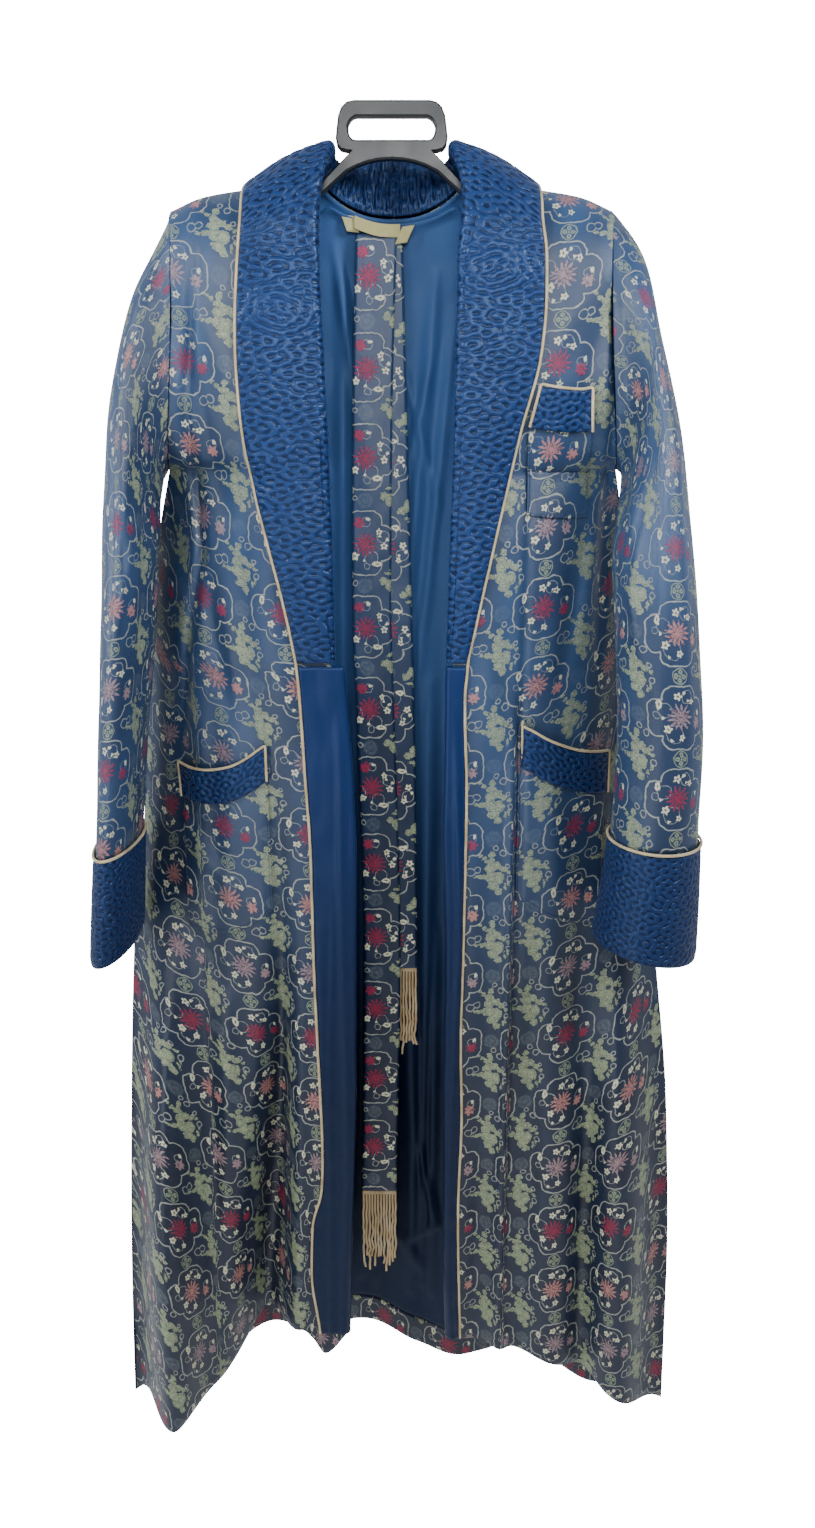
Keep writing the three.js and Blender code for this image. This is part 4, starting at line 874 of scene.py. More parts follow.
# Folds: out at the top, out at the hem, where it starts, width at both ends, depth backwards.
FOLDS_LEFT = [
    (232, 226, 640, 34, 56, -78), (98, 141, 600, 16, 44, 46), (92, 112, 640, 14, 26, -9),
    (166, 186, 660, 26, 32, -12), (150, 196, 130, 20, 18, 5),
]
FOLDS_RIGHT = [
    (226, 234, 620, 34, 54, -46), (160, 168, 640, 30, 44, -19), (190, 201, 700, 14, 22, 10),
    (114, 112, 250, 10, 14, -7), (88, 86, 620, 16, 22, 6),
]
FOLDS_BACK = [
    (-196, -214, 420, 34, 52, -26), (-140, -146, 340, 32, 46, 20), (-82, -84, 560, 30, 38, -13),
    (-10, -20, 700, 34, 46, 8), (64, 66, 520, 30, 40, -11), (130, 142, 330, 30, 48, 21),
    (196, 214, 440, 34, 50, -27),
]
HEM_LEFT = columns("out drop", [
    (50, 1192), (75, 1218), (87, 1200), (100, 1185), (140, 1190), (154, 1208), (175, 1228),
    (206, 1240), (228, 1253), (257, 1252), (285, 1271),
])
HEM_RIGHT = columns("out drop", [(56, 1200), (106, 1209), (148, 1215), (193, 1226), (232, 1241), (288, 1270)])
HEM_BACK = columns("out drop", [(-285, 1271), (-150, 1252), (-51, 1240), (39, 1272), (90, 1279), (288, 1270)])
shoulder_drop = curve([60, 66, 122, 162, 190], [46.5, 47, 56, 62.5, 74])
back_line = curve([73, 160, 300, 700, 1000, 1280], [46, 53, 55, 57, 60, 62])


# %% Creases, listed one by one
# From out, drop to out, drop, with a half width and a height outwards.
CREASES_LEFT = [
    (166, 108, 180, 250, 4.5, -4.6), (180, 240, 173, 372, 4.5, -5.0), (173, 362, 190, 450, 5, -5.2),
    (190, 440, 200, 540, 5, -4.6), (110, 600, 114, 900, 8, -5.0), (112, 860, 120, 1180, 9, -6.5),
    (186, 150, 150, 330, 9, -2.6), (176, 120, 132, 250, 12, 2.2), (196, 250, 168, 420, 10, 2.8),
    (184, 300, 150, 520, 8, -2.4), (120, 330, 98, 520, 13, 2.2), (140, 360, 128, 540, 10, -1.8),
    (214, 470, 190, 640, 12, -3.2), (206, 620, 150, 700, 9, 2.4), (228, 680, 168, 790, 10, -2.8),
    (178, 760, 160, 1010, 12, 3.2), (214, 840, 206, 1140, 11, -3.6), (244, 900, 250, 1190, 12, 3.0),
    (150, 930, 168, 1150, 8, -2.6), (70, 720, 74, 1010, 7, 2.0), (190, 1040, 214, 1230, 8, 3.0),
    (104, 150, 128, 300, 14, 1.8), (232, 560, 244, 760, 9, 2.6),
]
CREASES_RIGHT = [
    (188, 120, 196, 300, 5, -4.6), (196, 290, 190, 470, 5, -4.2), (118, 500, 118, 800, 5, -4.8),
    (118, 760, 116, 1200, 5, -5.4), (214, 470, 222, 760, 7, -4.4), (150, 560, 146, 640, 14, 2.2),
    (188, 140, 150, 300, 10, -2.8), (172, 110, 136, 210, 12, 2.0), (198, 240, 172, 430, 10, 2.6),
    (182, 320, 150, 510, 9, -2.4), (122, 300, 118, 520, 4, -2.2), (96, 380, 84, 560, 12, 1.8),
    (212, 460, 214, 620, 11, -3.0), (156, 600, 150, 820, 13, 2.6), (186, 640, 178, 930, 10, -3.0),
    (226, 700, 216, 1000, 12, 3.4), (134, 780, 140, 1090, 10, -2.6), (78, 640, 80, 900, 8, 2.0),
    (202, 900, 214, 1180, 9, -3.0), (250, 860, 262, 1180, 12, 2.8), (92, 960, 88, 1200, 9, -2.0),
    (112, 560, 110, 1210, 2.6, 2.2), (150, 1040, 156, 1210, 11, 2.6),
]
CREASES_BACK = [
    (-150, 140, -60, 230, 16, -2.2), (140, 130, 60, 240, 15, -2.0), (-120, 260, -104, 520, 14, 2.4),
    (118, 280, 98, 560, 13, 2.2), (-30, 330, -36, 700, 16, 1.8), (40, 420, 30, 820, 13, -2.0),
    (-186, 470, -176, 760, 11, -3.0), (180, 460, 172, 800, 12, -2.8), (-100, 760, -112, 1120, 12, 2.8),
    (96, 800, 104, 1180, 11, 2.6), (-236, 760, -240, 1120, 11, 2.8), (230, 780, 238, 1140, 12, 3.0),
    (10, 880, 4, 1210, 11, -2.2), (-60, 1000, -52, 1230, 10, 2.2),
]


# %% Panels
class Panel:
    """One cut panel: a surface with an inside and an outside. face is -1 in front."""

    def __init__(self, sign, face, span, sides, squareness, top, hem, folds, creases, seed):
        self.sign, self.face = sign, face
        self.out_from, self.out_to = span
        self.y_from, self.y_to = sides
        self.squareness, self.top = squareness, top
        self.hem = curve(hem["out"], hem["drop"])
        self.folds, self.creases, self.seed = folds, creases, seed

    def place(self, across, level):
        out = lerp(self.out_from(level), self.out_to(level), across)
        top_drop, top_y = self.top(out)
        drop = level + (top_drop - TOP) * np.clip(1 - (level - TOP) / 130, 0, 1)
        drop = drop + (self.hem(out) - HEM) * ramp(level, 700, HEM)
        flat = lerp(self.y_from(drop), self.y_to(drop), self.squareness(across, level))
        y = lerp(top_y, flat, quarter_round(drop - top_drop, SHOULDER_ROUND))
        for out_top, out_hem, start, wide_top, wide_hem, depth in self.folds:
            w = np.clip((level - start) / (HEM - start), 0, 1)
            centre, wide = lerp(out_top, out_hem, w), lerp(wide_top, wide_hem, w)
            y = y + depth * ramp(w, 0, 0.85) * bump(out - centre, wide)
        free = ramp(level, TOP + 20, TOP + 120)
        uneven = 1.3 * crease(out, level, self.creases) + 0.7 * swell(out, level, self.seed)
        y = y + self.face * free * uneven
        return np.stack([self.sign * out, y, -drop], axis=-1)

    def normal(self, across, level):
        a, b = np.clip(across, 0.004, 0.996), np.maximum(level, TOP + 2)
        along = self.place(a + 0.004, b) - self.place(a - 0.004, b)
        down = self.place(a, b + 2) - self.place(a, b - 2)
        n = unit(np.cross(along, down))
        return np.where(n[..., 1:2] * self.face < 0, -n, n)

    def find(self, out, drop):
        """Where on the panel a distance out and a drop are."""
        out, level = np.broadcast_arrays(np.asarray(out, float), np.asarray(drop, float))
        target, across = level, np.full(level.shape, 0.5)
        for _ in range(14):
            here = self.place(across, level)
            width = self.out_to(level) - self.out_from(level)
            across = np.clip(across + (out - self.sign * here[..., 0]) / width, 0, 1)
            level = np.clip(level + target + here[..., 2], TOP, HEM)
        return across, level

    def on(self, out, drop, lift):
        across, level = self.find(out, drop)
        return self.place(across, level) + self.normal(across, level) * np.asarray(lift)[..., None]


def armhole(drop, face):
    w = np.clip((drop - ARM_TOP) / (UNDERARM - ARM_TOP), 0, 1)
    out = lerp(190, 204, w) - 16 * np.sqrt(w * (1 - w))
    return out, lerp(5, face * ARM_DEEP, quarter_round(UNDERARM - drop, ARM_ROUND))


def make_front(sign, side, edge, hem, folds, creases, seed):
    side_out, side_y = curve(side["drop"], side["out"]), curve(side["drop"], side["y"])
    edge_out, edge_y = curve(edge["drop"], edge["out"]), curve(edge["drop"], edge["y"])
    return Panel(
        sign, -1,
        (lambda d: np.where(d < UNDERARM, armhole(d, -1)[0], side_out(d)), lambda d: edge_out(d) + 2.2),
        (lambda d: np.where(d < UNDERARM, armhole(d, -1)[1], side_y(d)) - SEAM, edge_y),
        lambda a, level: 1 - (1 - a) ** (1 + 2.4 * ramp(level, 230, 420)),
        lambda out: (shoulder_drop(out), -SEAM / 2),
        hem, folds, creases, seed,
    )


front_left = make_front(-1, SIDE_LEFT, EDGE_LEFT, HEM_LEFT, FOLDS_LEFT, CREASES_LEFT, 3)
front_right = make_front(1, SIDE_RIGHT, EDGE_RIGHT, HEM_RIGHT, FOLDS_RIGHT, CREASES_RIGHT, 5)

left_out, left_y = curve(SIDE_LEFT["drop"], SIDE_LEFT["out"]), curve(SIDE_LEFT["drop"], SIDE_LEFT["y"])
right_out, right_y = curve(SIDE_RIGHT["drop"], SIDE_RIGHT["out"]), curve(SIDE_RIGHT["drop"], SIDE_RIGHT["y"])


def back_edge_y(drop):
    return np.where(drop < UNDERARM, armhole(drop, 1)[1], (left_y(drop) + right_y(drop)) / 2) + SEAM / 2


def back_squareness(across, level):
    q = np.abs(2 * across - 1)
    lean = np.where(level < UNDERARM, 0, (right_y(level) - left_y(level)) / 2)
    tilt = lean * np.sign(across - 0.5) * q**6
    return 1 - q ** (2 + 1.6 * ramp(level, 230, 420)) + tilt / (back_line(level) - back_edge_y(level))


def back_neck(out):
    q = np.clip(np.abs(out) / 66, 0, 1)
    drop = np.where(q >= 1, shoulder_drop(np.abs(out)), lerp(73, shoulder_drop(66), q**2.4))
    return drop, np.where(q >= 1, SEAM / 2, lerp(SEAM / 2, 43, np.sqrt(1 - q**2.2)))


back = Panel(
    1, 1,
    (lambda d: -np.where(d < UNDERARM, armhole(d, 1)[0], left_out(d)),
     lambda d: np.where(d < UNDERARM, armhole(d, 1)[0], right_out(d))),
    (back_edge_y, back_line), back_squareness, back_neck, HEM_BACK, FOLDS_BACK, CREASES_BACK, 7,
)
print("panels ready, neck at", back.place(np.array(0.5), np.array(60.0)).round(1))


# %% Cut the fronts and the back
def panel_grid(panel, cols, rows, low=0.0, high=1.0, top=TOP, hem=HEM):
    across = np.linspace(low, high, cols)[None, :]
    level = (top + (hem - top) * np.linspace(0, 1, rows) ** 1.12)[:, None]
    return panel.place(across, level), across, level


PATTERN = {"front_left": (38, 12), "front_right": (-2, 12), "back": (0, 20)}  # mm, where it starts
TUCKS = {
    # how much cloth a tuck swallows: out, width, from drop, to drop, amount in mm
    "front_left": (186, 2.0, 230, 420, 14),
    "front_right": (114.5, 1.5, 470, 640, 36),
    "back": (0, 1, 0, 1, 0),
}
PANELS = [("front_left", front_left, 96), ("front_right", front_right, 92), ("back", back, 132)]
panel_uv = {}
for name, panel, count in PANELS:
    points, across, level = panel_grid(panel, count, 210)
    wide, long = measure(points)
    start_x, start_z = PATTERN[name]
    if name == "back":
        x = -(wide - wide[:, count // 2 : count // 2 + 1])
    else:
        x = panel.sign * (wide[:, -1:] - wide)
    z = -(long - points[:1, :, 2])
    line, soft, low, high, amount = TUCKS[name]
    past_tuck = ramp(panel.sign * points[..., 0], line - soft, line + soft)
    x = x + amount * ramp(level, low, high) * past_tuck * panel.sign
    uv = np.stack([x + start_x, z + start_z], -1) * MM
    panel_uv[name] = (np.linspace(0, 1, count), level[:, 0], uv)
    inward = -panel.face * np.sign(points[0, 1, 0] - points[0, 0, 0])
    piece = wall_piece(name, points, PANEL_WALL, inward, uv, [BROCADE, LINING])
    sew_on(piece, name)
    lay_out(piece, name, points)


def pattern_at(name, across, level):
    """The woven figure's place on a panel, so that what lies on it can match it."""
    columns_at, rows_at, uv = panel_uv[name]
    j = np.clip(across * (len(columns_at) - 1), 0, len(columns_at) - 1.001)
    i = np.interp(level, rows_at, np.arange(len(rows_at)))
    i = np.clip(i, 0, len(rows_at) - 1.001)
    i0, j0 = i.astype(int), j.astype(int)
    fi, fj = (i - i0)[..., None], (j - j0)[..., None]
    upper = lerp(uv[i0, j0], uv[i0, j0 + 1], fj)
    return lerp(upper, lerp(uv[i0 + 1, j0], uv[i0 + 1, j0 + 1], fj), fi)


# %% [markdown]
# ## Lining and turned-up hem
# Inside the back hangs a satin lining, looser than the brocade, so it falls in its own long
# folds. It is made from the back's own points, moved in, and only ever folds inwards.

# %% Lining
LINING_FOLDS = [
    # from x, drop to x, drop, half width, height inwards
    (-46, 130, -52, 700, 7, 6.0), (-30, 420, -40, 1180, 6, 5.0), (40, 120, 14, 420, 6, 5.0),
    (58, 150, 22, 520, 5, 4.2), (36, 500, 30, 1190, 6, 6.0), (44, 760, 42, 1200, 5, 5.0),
    (20, 820, 18, 1200, 6, 5.6), (-24, 880, -22, 1200, 7, 5.0), (56, 300, 66, 900, 9, 5.0),
    (-66, 300, -74, 1100, 10, 5.0), (40, 180, 4, 330, 4, 3.0), (10, 200, 44, 330, 4, 2.4),
    (-110, 300, -120, 1150, 12, 4.0), (110, 320, 118, 1150, 12, 4.0), (26, 1010, 48, 1110, 5, 5.0),
    (48, 1110, 14, 1130, 5, 4.6), (-12, 1100, 30, 1170, 6, 3.4), (-52, 96, -34, 230, 5, 5.0),
    (-40, 110, -26, 200, 4, -3.0), (12, 600, 14, 980, 7, 4.0),
]


def lined(low, high, cols, rows, top, hem, neck_rise=0.0):
    across = np.linspace(low, high, cols)[None, :]
    out = np.abs(back.place(across, np.array([[top]], float))[..., 0])
    start = top - neck_rise * ramp(-out, -72, -50)
    level = start + (hem - start) * np.linspace(0, 1, rows)[:, None]
    across = np.broadcast_to(across, level.shape)
    points = back.place(across, level)
    fold = crease(points[..., 0], -points[..., 2], LINING_FOLDS)
    fold = fold + 0.8 * np.abs(swell(points[..., 0], points[..., 2], 21, 34))
    fade = ramp(level, start, start + 60) * ramp(-level, -hem, -hem + 30)
    turned = 5.5 * ramp(-level, -start - 9, -start) * ramp(-out, -66, -48) if neck_rise else 0.0
    return points - back.normal(across, level) * (1.7 + np.clip(fold, -0.5, 9) * fade + turned)[..., None]


points = lined(0.05, 0.95, 190, 250, 84, 1208, neck_rise=20)
wide, long = measure(points)
uv = np.stack([wide, -long], -1) * MM
piece = wall_piece("lining_back", points, SATIN_WALL, -1, uv, [LINING])
sew_on(piece, "lining_back")
lay_out(piece, "lining_back", points)

points = lined(0.05, 0.95, 120, 10, 1209, 1239.5)
wide, long = measure(points)
uv = np.stack([wide + 31, 20 - long], -1) * MM
piece = wall_piece("back_hem", points, PATCH_WALL, -1, uv, [BROCADE])
sew_on(piece, "back_hem")
lay_out(piece, "back_hem", points)

# %% [markdown]
# ## Shawl collar and facings
# The collar is one padded band that rolls over the front edge and round the neck. Each
# section goes up the inside, round the roll and down to the outer edge; the sections follow
# the front at first and then turn behind the neck. The plain facing below it is the same
# idea with a tighter roll.

# %% Collar tables
COLLAR_LEFT = columns("drop roll edge", [
    (112, 61.4, 127.5), (150, 60.3, 130.5), (193, 58.6, 132.1), (258, 56.2, 127.9),
    (317, 54.5, 117.6), (361, 53.6, 107.6), (413, 53, 95.8), (462, 52.2, 86.5),
])
COLLAR_RIGHT = columns("drop roll edge", [
    (112, 56.2, 128.5), (150, 55.8, 129.5), (193, 55.2, 126.8), (258, 54, 110),
    (317, 52.6, 97), (361, 51.6, 88), (413, 50, 77), (462, 48.6, 67),
])
NECK = [
    # neck seam (out, y, drop), roll (out, y, drop), outer edge (out, drop), where it lies
    ((63.5, -16, 70), (60, -32, 64), (125.5, 92), "front"),
    ((63, -4, 45), (54, -18, 34), (124.5, 68), "front"),
    ((63, 3, 44.5), (50, -3, 21), (123.5, 51), "seam"),
    ((59, 16, 49.5), (51, 19, 29), (115, 72), "back"),
    ((42, 31, 61.5), (41, 38, 33), (82, 96), "back"),
    ((20, 38.5, 69.5), (20, 46, 24), (42, 107), "back"),
    ((0.1, 40.5, 71.4), (0.1, 48, 17), (0.1, 111), "back"),
]
FACING_LEFT = columns("drop roll edge", [
    (466, 44, 85.8), (497, 42, 83.7), (577, 37, 80), (640, 36.5, 77), (745, 37, 76), (854, 38.5, 73.6),
    (969, 41, 71.6), (1016, 42.5, 73.4), (1058, 44.5, 83.4), (1119, 47, 85.6), (1180, 48.3, 79),
    (1191, 48.5, 78),
])
FACING_RIGHT = columns("drop roll edge", [
    (466, 48.5, 66.6), (496, 48, 64.4), (592, 47.8, 67), (745, 50.8, 66), (836, 50.6, 64.4),
    (932, 51, 66.4), (1034, 51.5, 64), (1136, 53, 66), (1199, 55, 67.8),
])


# %% Sections that roll
def section(inner, roll, radius, falls, steps):
    """Sections as rows of points: up the inside, round the roll, down the outside."""
    up = unit(roll - (inner + falls[:, -1]) / 2)
    radius = np.broadcast_to(radius, len(roll))[:, None]
    over = falls[:, -1] - inner
    over = unit(over - up * (over * up).sum(-1, keepdims=True))
    centre = roll - up * radius
    turn = np.pi * (np.linspace(0, 1, steps[1] + 1) - 0.5)[None, :, None]
    wide = radius[:, None]
    round_part = centre[:, None] + up[:, None] * wide * np.cos(turn) + over[:, None] * wide * np.sin(turn)
    t = np.linspace(0, 1, steps[0], endpoint=False)[None, :, None]
    rise_part = lerp(inner[:, None], round_part[:, :1], t)
    c = np.linspace(0, 1, falls.shape[1])[None, :, None]
    fall_part = falls + (round_part[:, -1:] - falls[:, :1]) * (1 - c) ** 2
    return np.concatenate([rise_part, round_part, fall_part[:, 1:]], axis=1)


def front_sections(panel, table, drops, thickness, radius, ease, loft, steps):
    roll = curve(table["drop"], table["roll"])(drops)
    edge = curve(table["drop"], table["edge"])(drops)
    roll_y = panel.on(roll + radius, drops, np.full(len(drops), -0.8))[:, 1]
    c = np.linspace(0, 1, steps[2] + 1)[None, :]
    out = lerp((roll + radius)[:, None], edge[:, None], c)
    lift = thickness + LAY + np.reshape(ease, (-1, 1)) + loft * np.sin(np.pi * c) * np.ones_like(out)
    falls = panel.on(out, np.broadcast_to(drops[:, None], out.shape), lift)
    inner = np.stack([panel.sign * (roll + 11), roll_y + radius, -drops], -1)
    return section(inner, np.stack([panel.sign * roll, roll_y, -drops], -1), radius, falls, steps)


def collar_grid(panel, table):
    steps = (26, 8, 66)
    drops = np.concatenate([np.linspace(462, 420, 6), np.linspace(394, 112, 13)])
    full = ramp(-drops, -462, -425)  # it thins to meet the facing
    radius, ease = 3.6 + 2.4 * full, 1.4 * full - 1.2 * (1 - full)
    on_front = front_sections(panel, table, drops, 3.0, radius, ease, 2.0, steps)
    c = np.linspace(0, 1, steps[2] + 1)[:, None]
    round_neck = []
    for seam_at, roll_at, (edge_out, edge_drop), where in NECK:
        place = lambda p: np.array([panel.sign * p[0], p[1], -p[2]], float)
        if where == "front":
            edge = panel.on(edge_out, edge_drop, 8.0)
        elif where == "back":
            edge = back.on(panel.sign * edge_out, edge_drop, 8.0)
        else:
            edge = place((edge_out, 0, edge_drop))
        falls = lerp(place(roll_at), edge, c)
        puff = 5 * np.sin(np.pi * c[:, 0])
        falls[:, 1] += {"back": 1, "front": -1, "seam": 0}[where] * puff
        falls[:, 2] += puff * (1 if where == "seam" else 0.3)
        round_neck.append(section(place(seam_at)[None], place(roll_at)[None], 6.0, falls[None], steps)[0])
    sections = np.concatenate([on_front, np.array(round_neck)])
    return through(sections, even_steps(sections, 420))


# %% Sew the collar
COLLAR_FIGURE = {"left": (-95, -159), "right": (86, -126)}  # x and z of the round stitched figure
edge_lines = {}
for side, panel, table in (("left", front_left, COLLAR_LEFT), ("right", front_right, COLLAR_RIGHT)):
    points = collar_grid(panel, table)
    wide, long = measure(points)
    s = np.broadcast_to(long.mean(axis=1, keepdims=True), long.shape)
    x, z = COLLAR_FIGURE[side]
    gap = np.hypot(points[..., 0] - x, points[..., 2] - z) + 500 * (points[..., 1] > -20)
    i, j = np.unravel_index(np.argmin(gap), gap.shape)
    uv = np.stack([wide - wide[i, j], s - s[i, j]], -1)
    fade = ramp(wide, 0, 4) * ramp(-wide, -wide[:, -1:], -wide[:, -1:] + 4)
    fade = fade * ramp(s, 0, 4)
    uv = uv * np.array([0.66, 1.0])  # the worms lie across the collar
    stand = ramp(points[..., 1], 0, 18) * bump(wide - 24, 30)
    fine, broad = np.sin(s / 1.15 + 2.0 * np.sin(wide / 13)), np.sin(s / 2.3 + 1.7 * np.sin(wide / 19))
    puckers = stand * (0.9 * fine + 1.2 * broad)
    lift = fade * (0.75 * padding(uv[..., 0], uv[..., 1]) + 0.5 * swell(wide, s, 31, 40) + puckers)
    piece = wall_piece(f"collar_{side}", points, PADDED_WALL, -panel.sign, uv * MM, [QUILTED], rise=lift)
    sew_on(piece, f"collar_{side}")
    lay_out(piece, f"collar_{side}", points)
    away = unit(points[:, -1] - points[:, -3])
    edge_lines[side] = points[:, -1] + away * 1.7 + grid_normals(points)[:, -1] * -panel.sign * 1.4

# %% Sew the facings
for side, panel, table in (("left", front_left, FACING_LEFT), ("right", front_right, FACING_RIGHT)):
    drops = np.linspace(table["drop"][0], table["drop"][-1], 60)
    sections = front_sections(panel, table, drops, 1.2, 3.4, 0.0, 0.3, (4, 6, 16))
    points = through(sections, np.linspace(0, 1, 230))
    wide, long = measure(points)
    near_edge = np.exp(-((wide[:, -1:] - wide) / 9) ** 2)
    ripple = 0.45 * near_edge * np.sin(long / 6.5 + 1.5 * np.sin(long / 23))
    grows = ramp(long, 10, 160)
    long_folds = 2.2 * bump(wide - 24 - 4 * np.sin(long / 130), 6) * grows
    long_folds = long_folds + 1.6 * bump(wide - 37 + 3 * np.sin(long / 90), 5) * ramp(long, 180, 330)
    long_folds = long_folds + 1.4 * bump(wide - 13 - 2 * np.sin(long / 70), 4) * ramp(long, 60, 200)
    lift = np.clip(ripple + long_folds + 0.6 * np.abs(swell(wide, long, 41, 50)), 0, 3.4)
    lift = lift * ramp(wide, 2, 8)
    uv = np.stack([wide, -long], -1) * MM
    piece = wall_piece(f"facing_{side}", points, SATIN_WALL, panel.sign, uv, [SATIN], rise=lift)
    sew_on(piece, f"facing_{side}")
    lay_out(piece, f"facing_{side}", points)
    away = unit(points[:, -1] - points[:, -3])
    line = points[:, -1] + away * 1.7 + grid_normals(points)[:, -1] * panel.sign * 0.5
    edge_lines[side] = np.concatenate([line[::-1][:-2], edge_lines[side][2:]])

# %% [markdown]
# ## Sleeves and cuffs
# A sleeve is a list of rings: an outer point, an inner point and a depth. The first rings
# are pulled onto the armhole. The quilted cuff is the same tube, wider and padded.

# %% Sleeve tables
RING_COLUMNS = "outer_out outer_y outer_drop inner_out inner_y inner_drop deep"
SLEEVE_LEFT = columns(RING_COLUMNS, [
    (190.4, 0, 74, 204.5, 5, 292, 46), (204, -5, 106, 208, 2, 297, 53), (228, -14, 152, 210, -5, 304, 57),
    (243, -24, 225, 211, -16, 322, 60), (251, -32, 318, 212, -30, 362, 62),
    (257, -42, 420, 217, -42, 432, 64),
    (263, -50, 510, 225, -52, 508, 65), (272, -56, 629, 236, -62, 623, 65),
])
SLEEVE_RIGHT = columns(RING_COLUMNS, [
    (190.4, 0, 74, 204.5, 5, 292, 46), (206, -6, 92, 209, -5, 296, 55), (224, -14, 124, 209, -18, 302, 60),
    (232, -28, 180, 206, -36, 314, 61), (247, -48, 250, 198, -58, 336, 60),
    (258, -64, 330, 193, -74, 380, 57),
    (267, -76, 420, 195, -86, 442, 55), (275, -82, 510, 199, -92, 512, 54),
    (276, -84, 617, 197, -94, 613, 54),
])
CUFF_LEFT = columns(RING_COLUMNS, [
    (273.5, -56, 630.5, 234.5, -62, 624.5, 67), (278, -57, 680, 237, -63, 672, 68),
    (282, -58, 731, 240, -64, 720, 69),
])
CUFF_RIGHT = columns(RING_COLUMNS, [
    (278, -84, 617.8, 195.5, -94, 613.8, 56), (279, -85, 670, 190, -97, 660, 58),
    (279, -86, 724, 183, -100, 704, 60),
])
# Creases round a sleeve: turn at the top, turn at the cuff, from and to (0 to 1), width, height.
SLEEVE_CREASES = [
    (0.9, 1.5, 0.25, 0.95, 0.22, -2.6), (1.9, 1.5, 0.2, 0.8, 0.2, 2.2), (2.5, 2.7, 0.35, 1.0, 0.18, -2.4),
    (0.3, 0.5, 0.3, 1.0, 0.25, 2.4), (3.6, 3.9, 0.2, 0.9, 0.24, -2.6), (4.6, 4.3, 0.3, 1.0, 0.22, 2.4),
    (5.4, 5.6, 0.15, 0.85, 0.26, -2.2), (1.2, 2.1, 0.45, 0.7, 0.16, -2.0), (2.2, 1.1, 0.55, 0.85, 0.15, 1.8),
]


# %% Sleeve rings
def rings(sign, table, sides, on_armhole):
    turn = np.linspace(0, 2 * np.pi, sides, endpoint=False)[None, :]
    cut = lambda key: np.asarray(table[key])[:, None]
    outer = np.stack([sign * cut("outer_out"), cut("outer_y"), -cut("outer_drop")], -1)
    inner = np.stack([sign * cut("inner_out"), cut("inner_y"), -cut("inner_drop")], -1)
    plain = (outer + inner) / 2 + (outer - inner) / 2 * np.cos(turn)[..., None]
    plain[..., 1] -= cut("deep") * np.sin(turn)
    if not on_armhole:
        return plain
    t = np.arange(len(plain))[:, None] / len(plain)
    for waves, start, first, depth in ((2, 0.6, 0.25, 3.2), (3, 2.1, 0.1, 2.2)):
        plain[..., 1] -= depth * ramp(t, first, first + 0.3) * np.cos(waves * turn + start) * np.sin(turn)
    drop = lerp(ARM_TOP, UNDERARM, (1 - np.cos(turn)) / 2)
    hole_out, hole_y = armhole(drop, np.where(np.sin(turn) >= 0, -1, 1))
    hole_y = hole_y * quarter_round(drop - ARM_TOP, SHOULDER_ROUND)
    seam = np.stack([sign * (hole_out + GAP), hole_y, -drop], -1)
    blend = np.array([1, 0.45, 0.15] + [0] * (len(plain) - 3))[:, None, None]
    return lerp(plain, seam, blend)


cuff_lines = {}
PATTERN_SLEEVE = {"left": (12, -6), "right": (66, 24)}
ARMS = [("left", -1, SLEEVE_LEFT, CUFF_LEFT), ("right", 1, SLEEVE_RIGHT, CUFF_RIGHT)]
for side, sign, sleeve, cuff in ARMS:
    points = through(rings(sign, sleeve, 110, True), np.linspace(0, 1, 170))
    wide, long = measure(points, tube=True)
    t = np.linspace(0, 1, len(points))[:, None]
    turn = np.linspace(0, 2 * np.pi, 110, endpoint=False)[None, :]
    lift = 0.9 * swell(turn * 40, t * 560, 51 + sign, 70)
    for at_top, at_cuff, first, last, width, height in SLEEVE_CREASES:
        w = np.clip((t - first) / (last - first), 0, 1)
        off = (turn - lerp(at_top, at_cuff, w) - 0.7 * (sign > 0) + np.pi) % (2 * np.pi) - np.pi
        lift = lift + height * np.sin(np.pi * w) * np.exp(-((off / width) ** 2))
    lift = lift * ramp(t, 0.02, 0.12) * ramp(-t, -1, -0.96)
    points = points + grid_normals(points, tube=True) * (sign * lift)[..., None]
    start_x, start_z = PATTERN_SLEEVE[side]
    uv = np.stack([-sign * wide + start_x, long[-1:] - long - ARM_TOP + start_z], -1) * MM
    piece = wall_piece(f"sleeve_{side}", points, SLEEVE_WALL, -sign, uv, [BROCADE, LINING], tube=True)
    sew_on(piece, f"sleeve_{side}")
    closed = np.concatenate([points, points[:, :1]], axis=1)
    lay_out(piece, f"sleeve_{side}", closed)

    points = through(rings(sign, cuff, 170, False), np.linspace(0, 1, 56))
    wide, long = measure(points, tube=True)
    t = np.linspace(0, 1, len(points))[:, None]
    place = np.stack([wide + 300, long + 300 * (1 + sign)], -1)  # clear of the collar's round figure
    lift = 0.9 * padding(place[:, :-1, 0], place[:, :-1, 1]) * ramp(t, 0, 0.05) * ramp(-t, -1, -0.95)
    finishes = [QUILTED, LINING]
    piece = wall_piece(f"cuff_{side}", points, PADDED_WALL, -sign, place * MM, finishes, tube=True, rise=lift)
    sew_on(piece, f"cuff_{side}")
    closed = np.concatenate([points, points[:, :1]], axis=1)
    lay_out(piece, f"cuff_{side}", closed)
    hug = np.asarray(points[0]) - points[0].mean(axis=0)
    cuff_lines[side] = points[0] + unit(hug) * 0.9 + np.array([0, 0, 1.7])

# %% [markdown]
# ## Pockets
# Three patch pockets, each with a quilted band along its top. The patch is cut so that its
# woven figure runs on from the front beneath it, so it takes the figure's place from there.

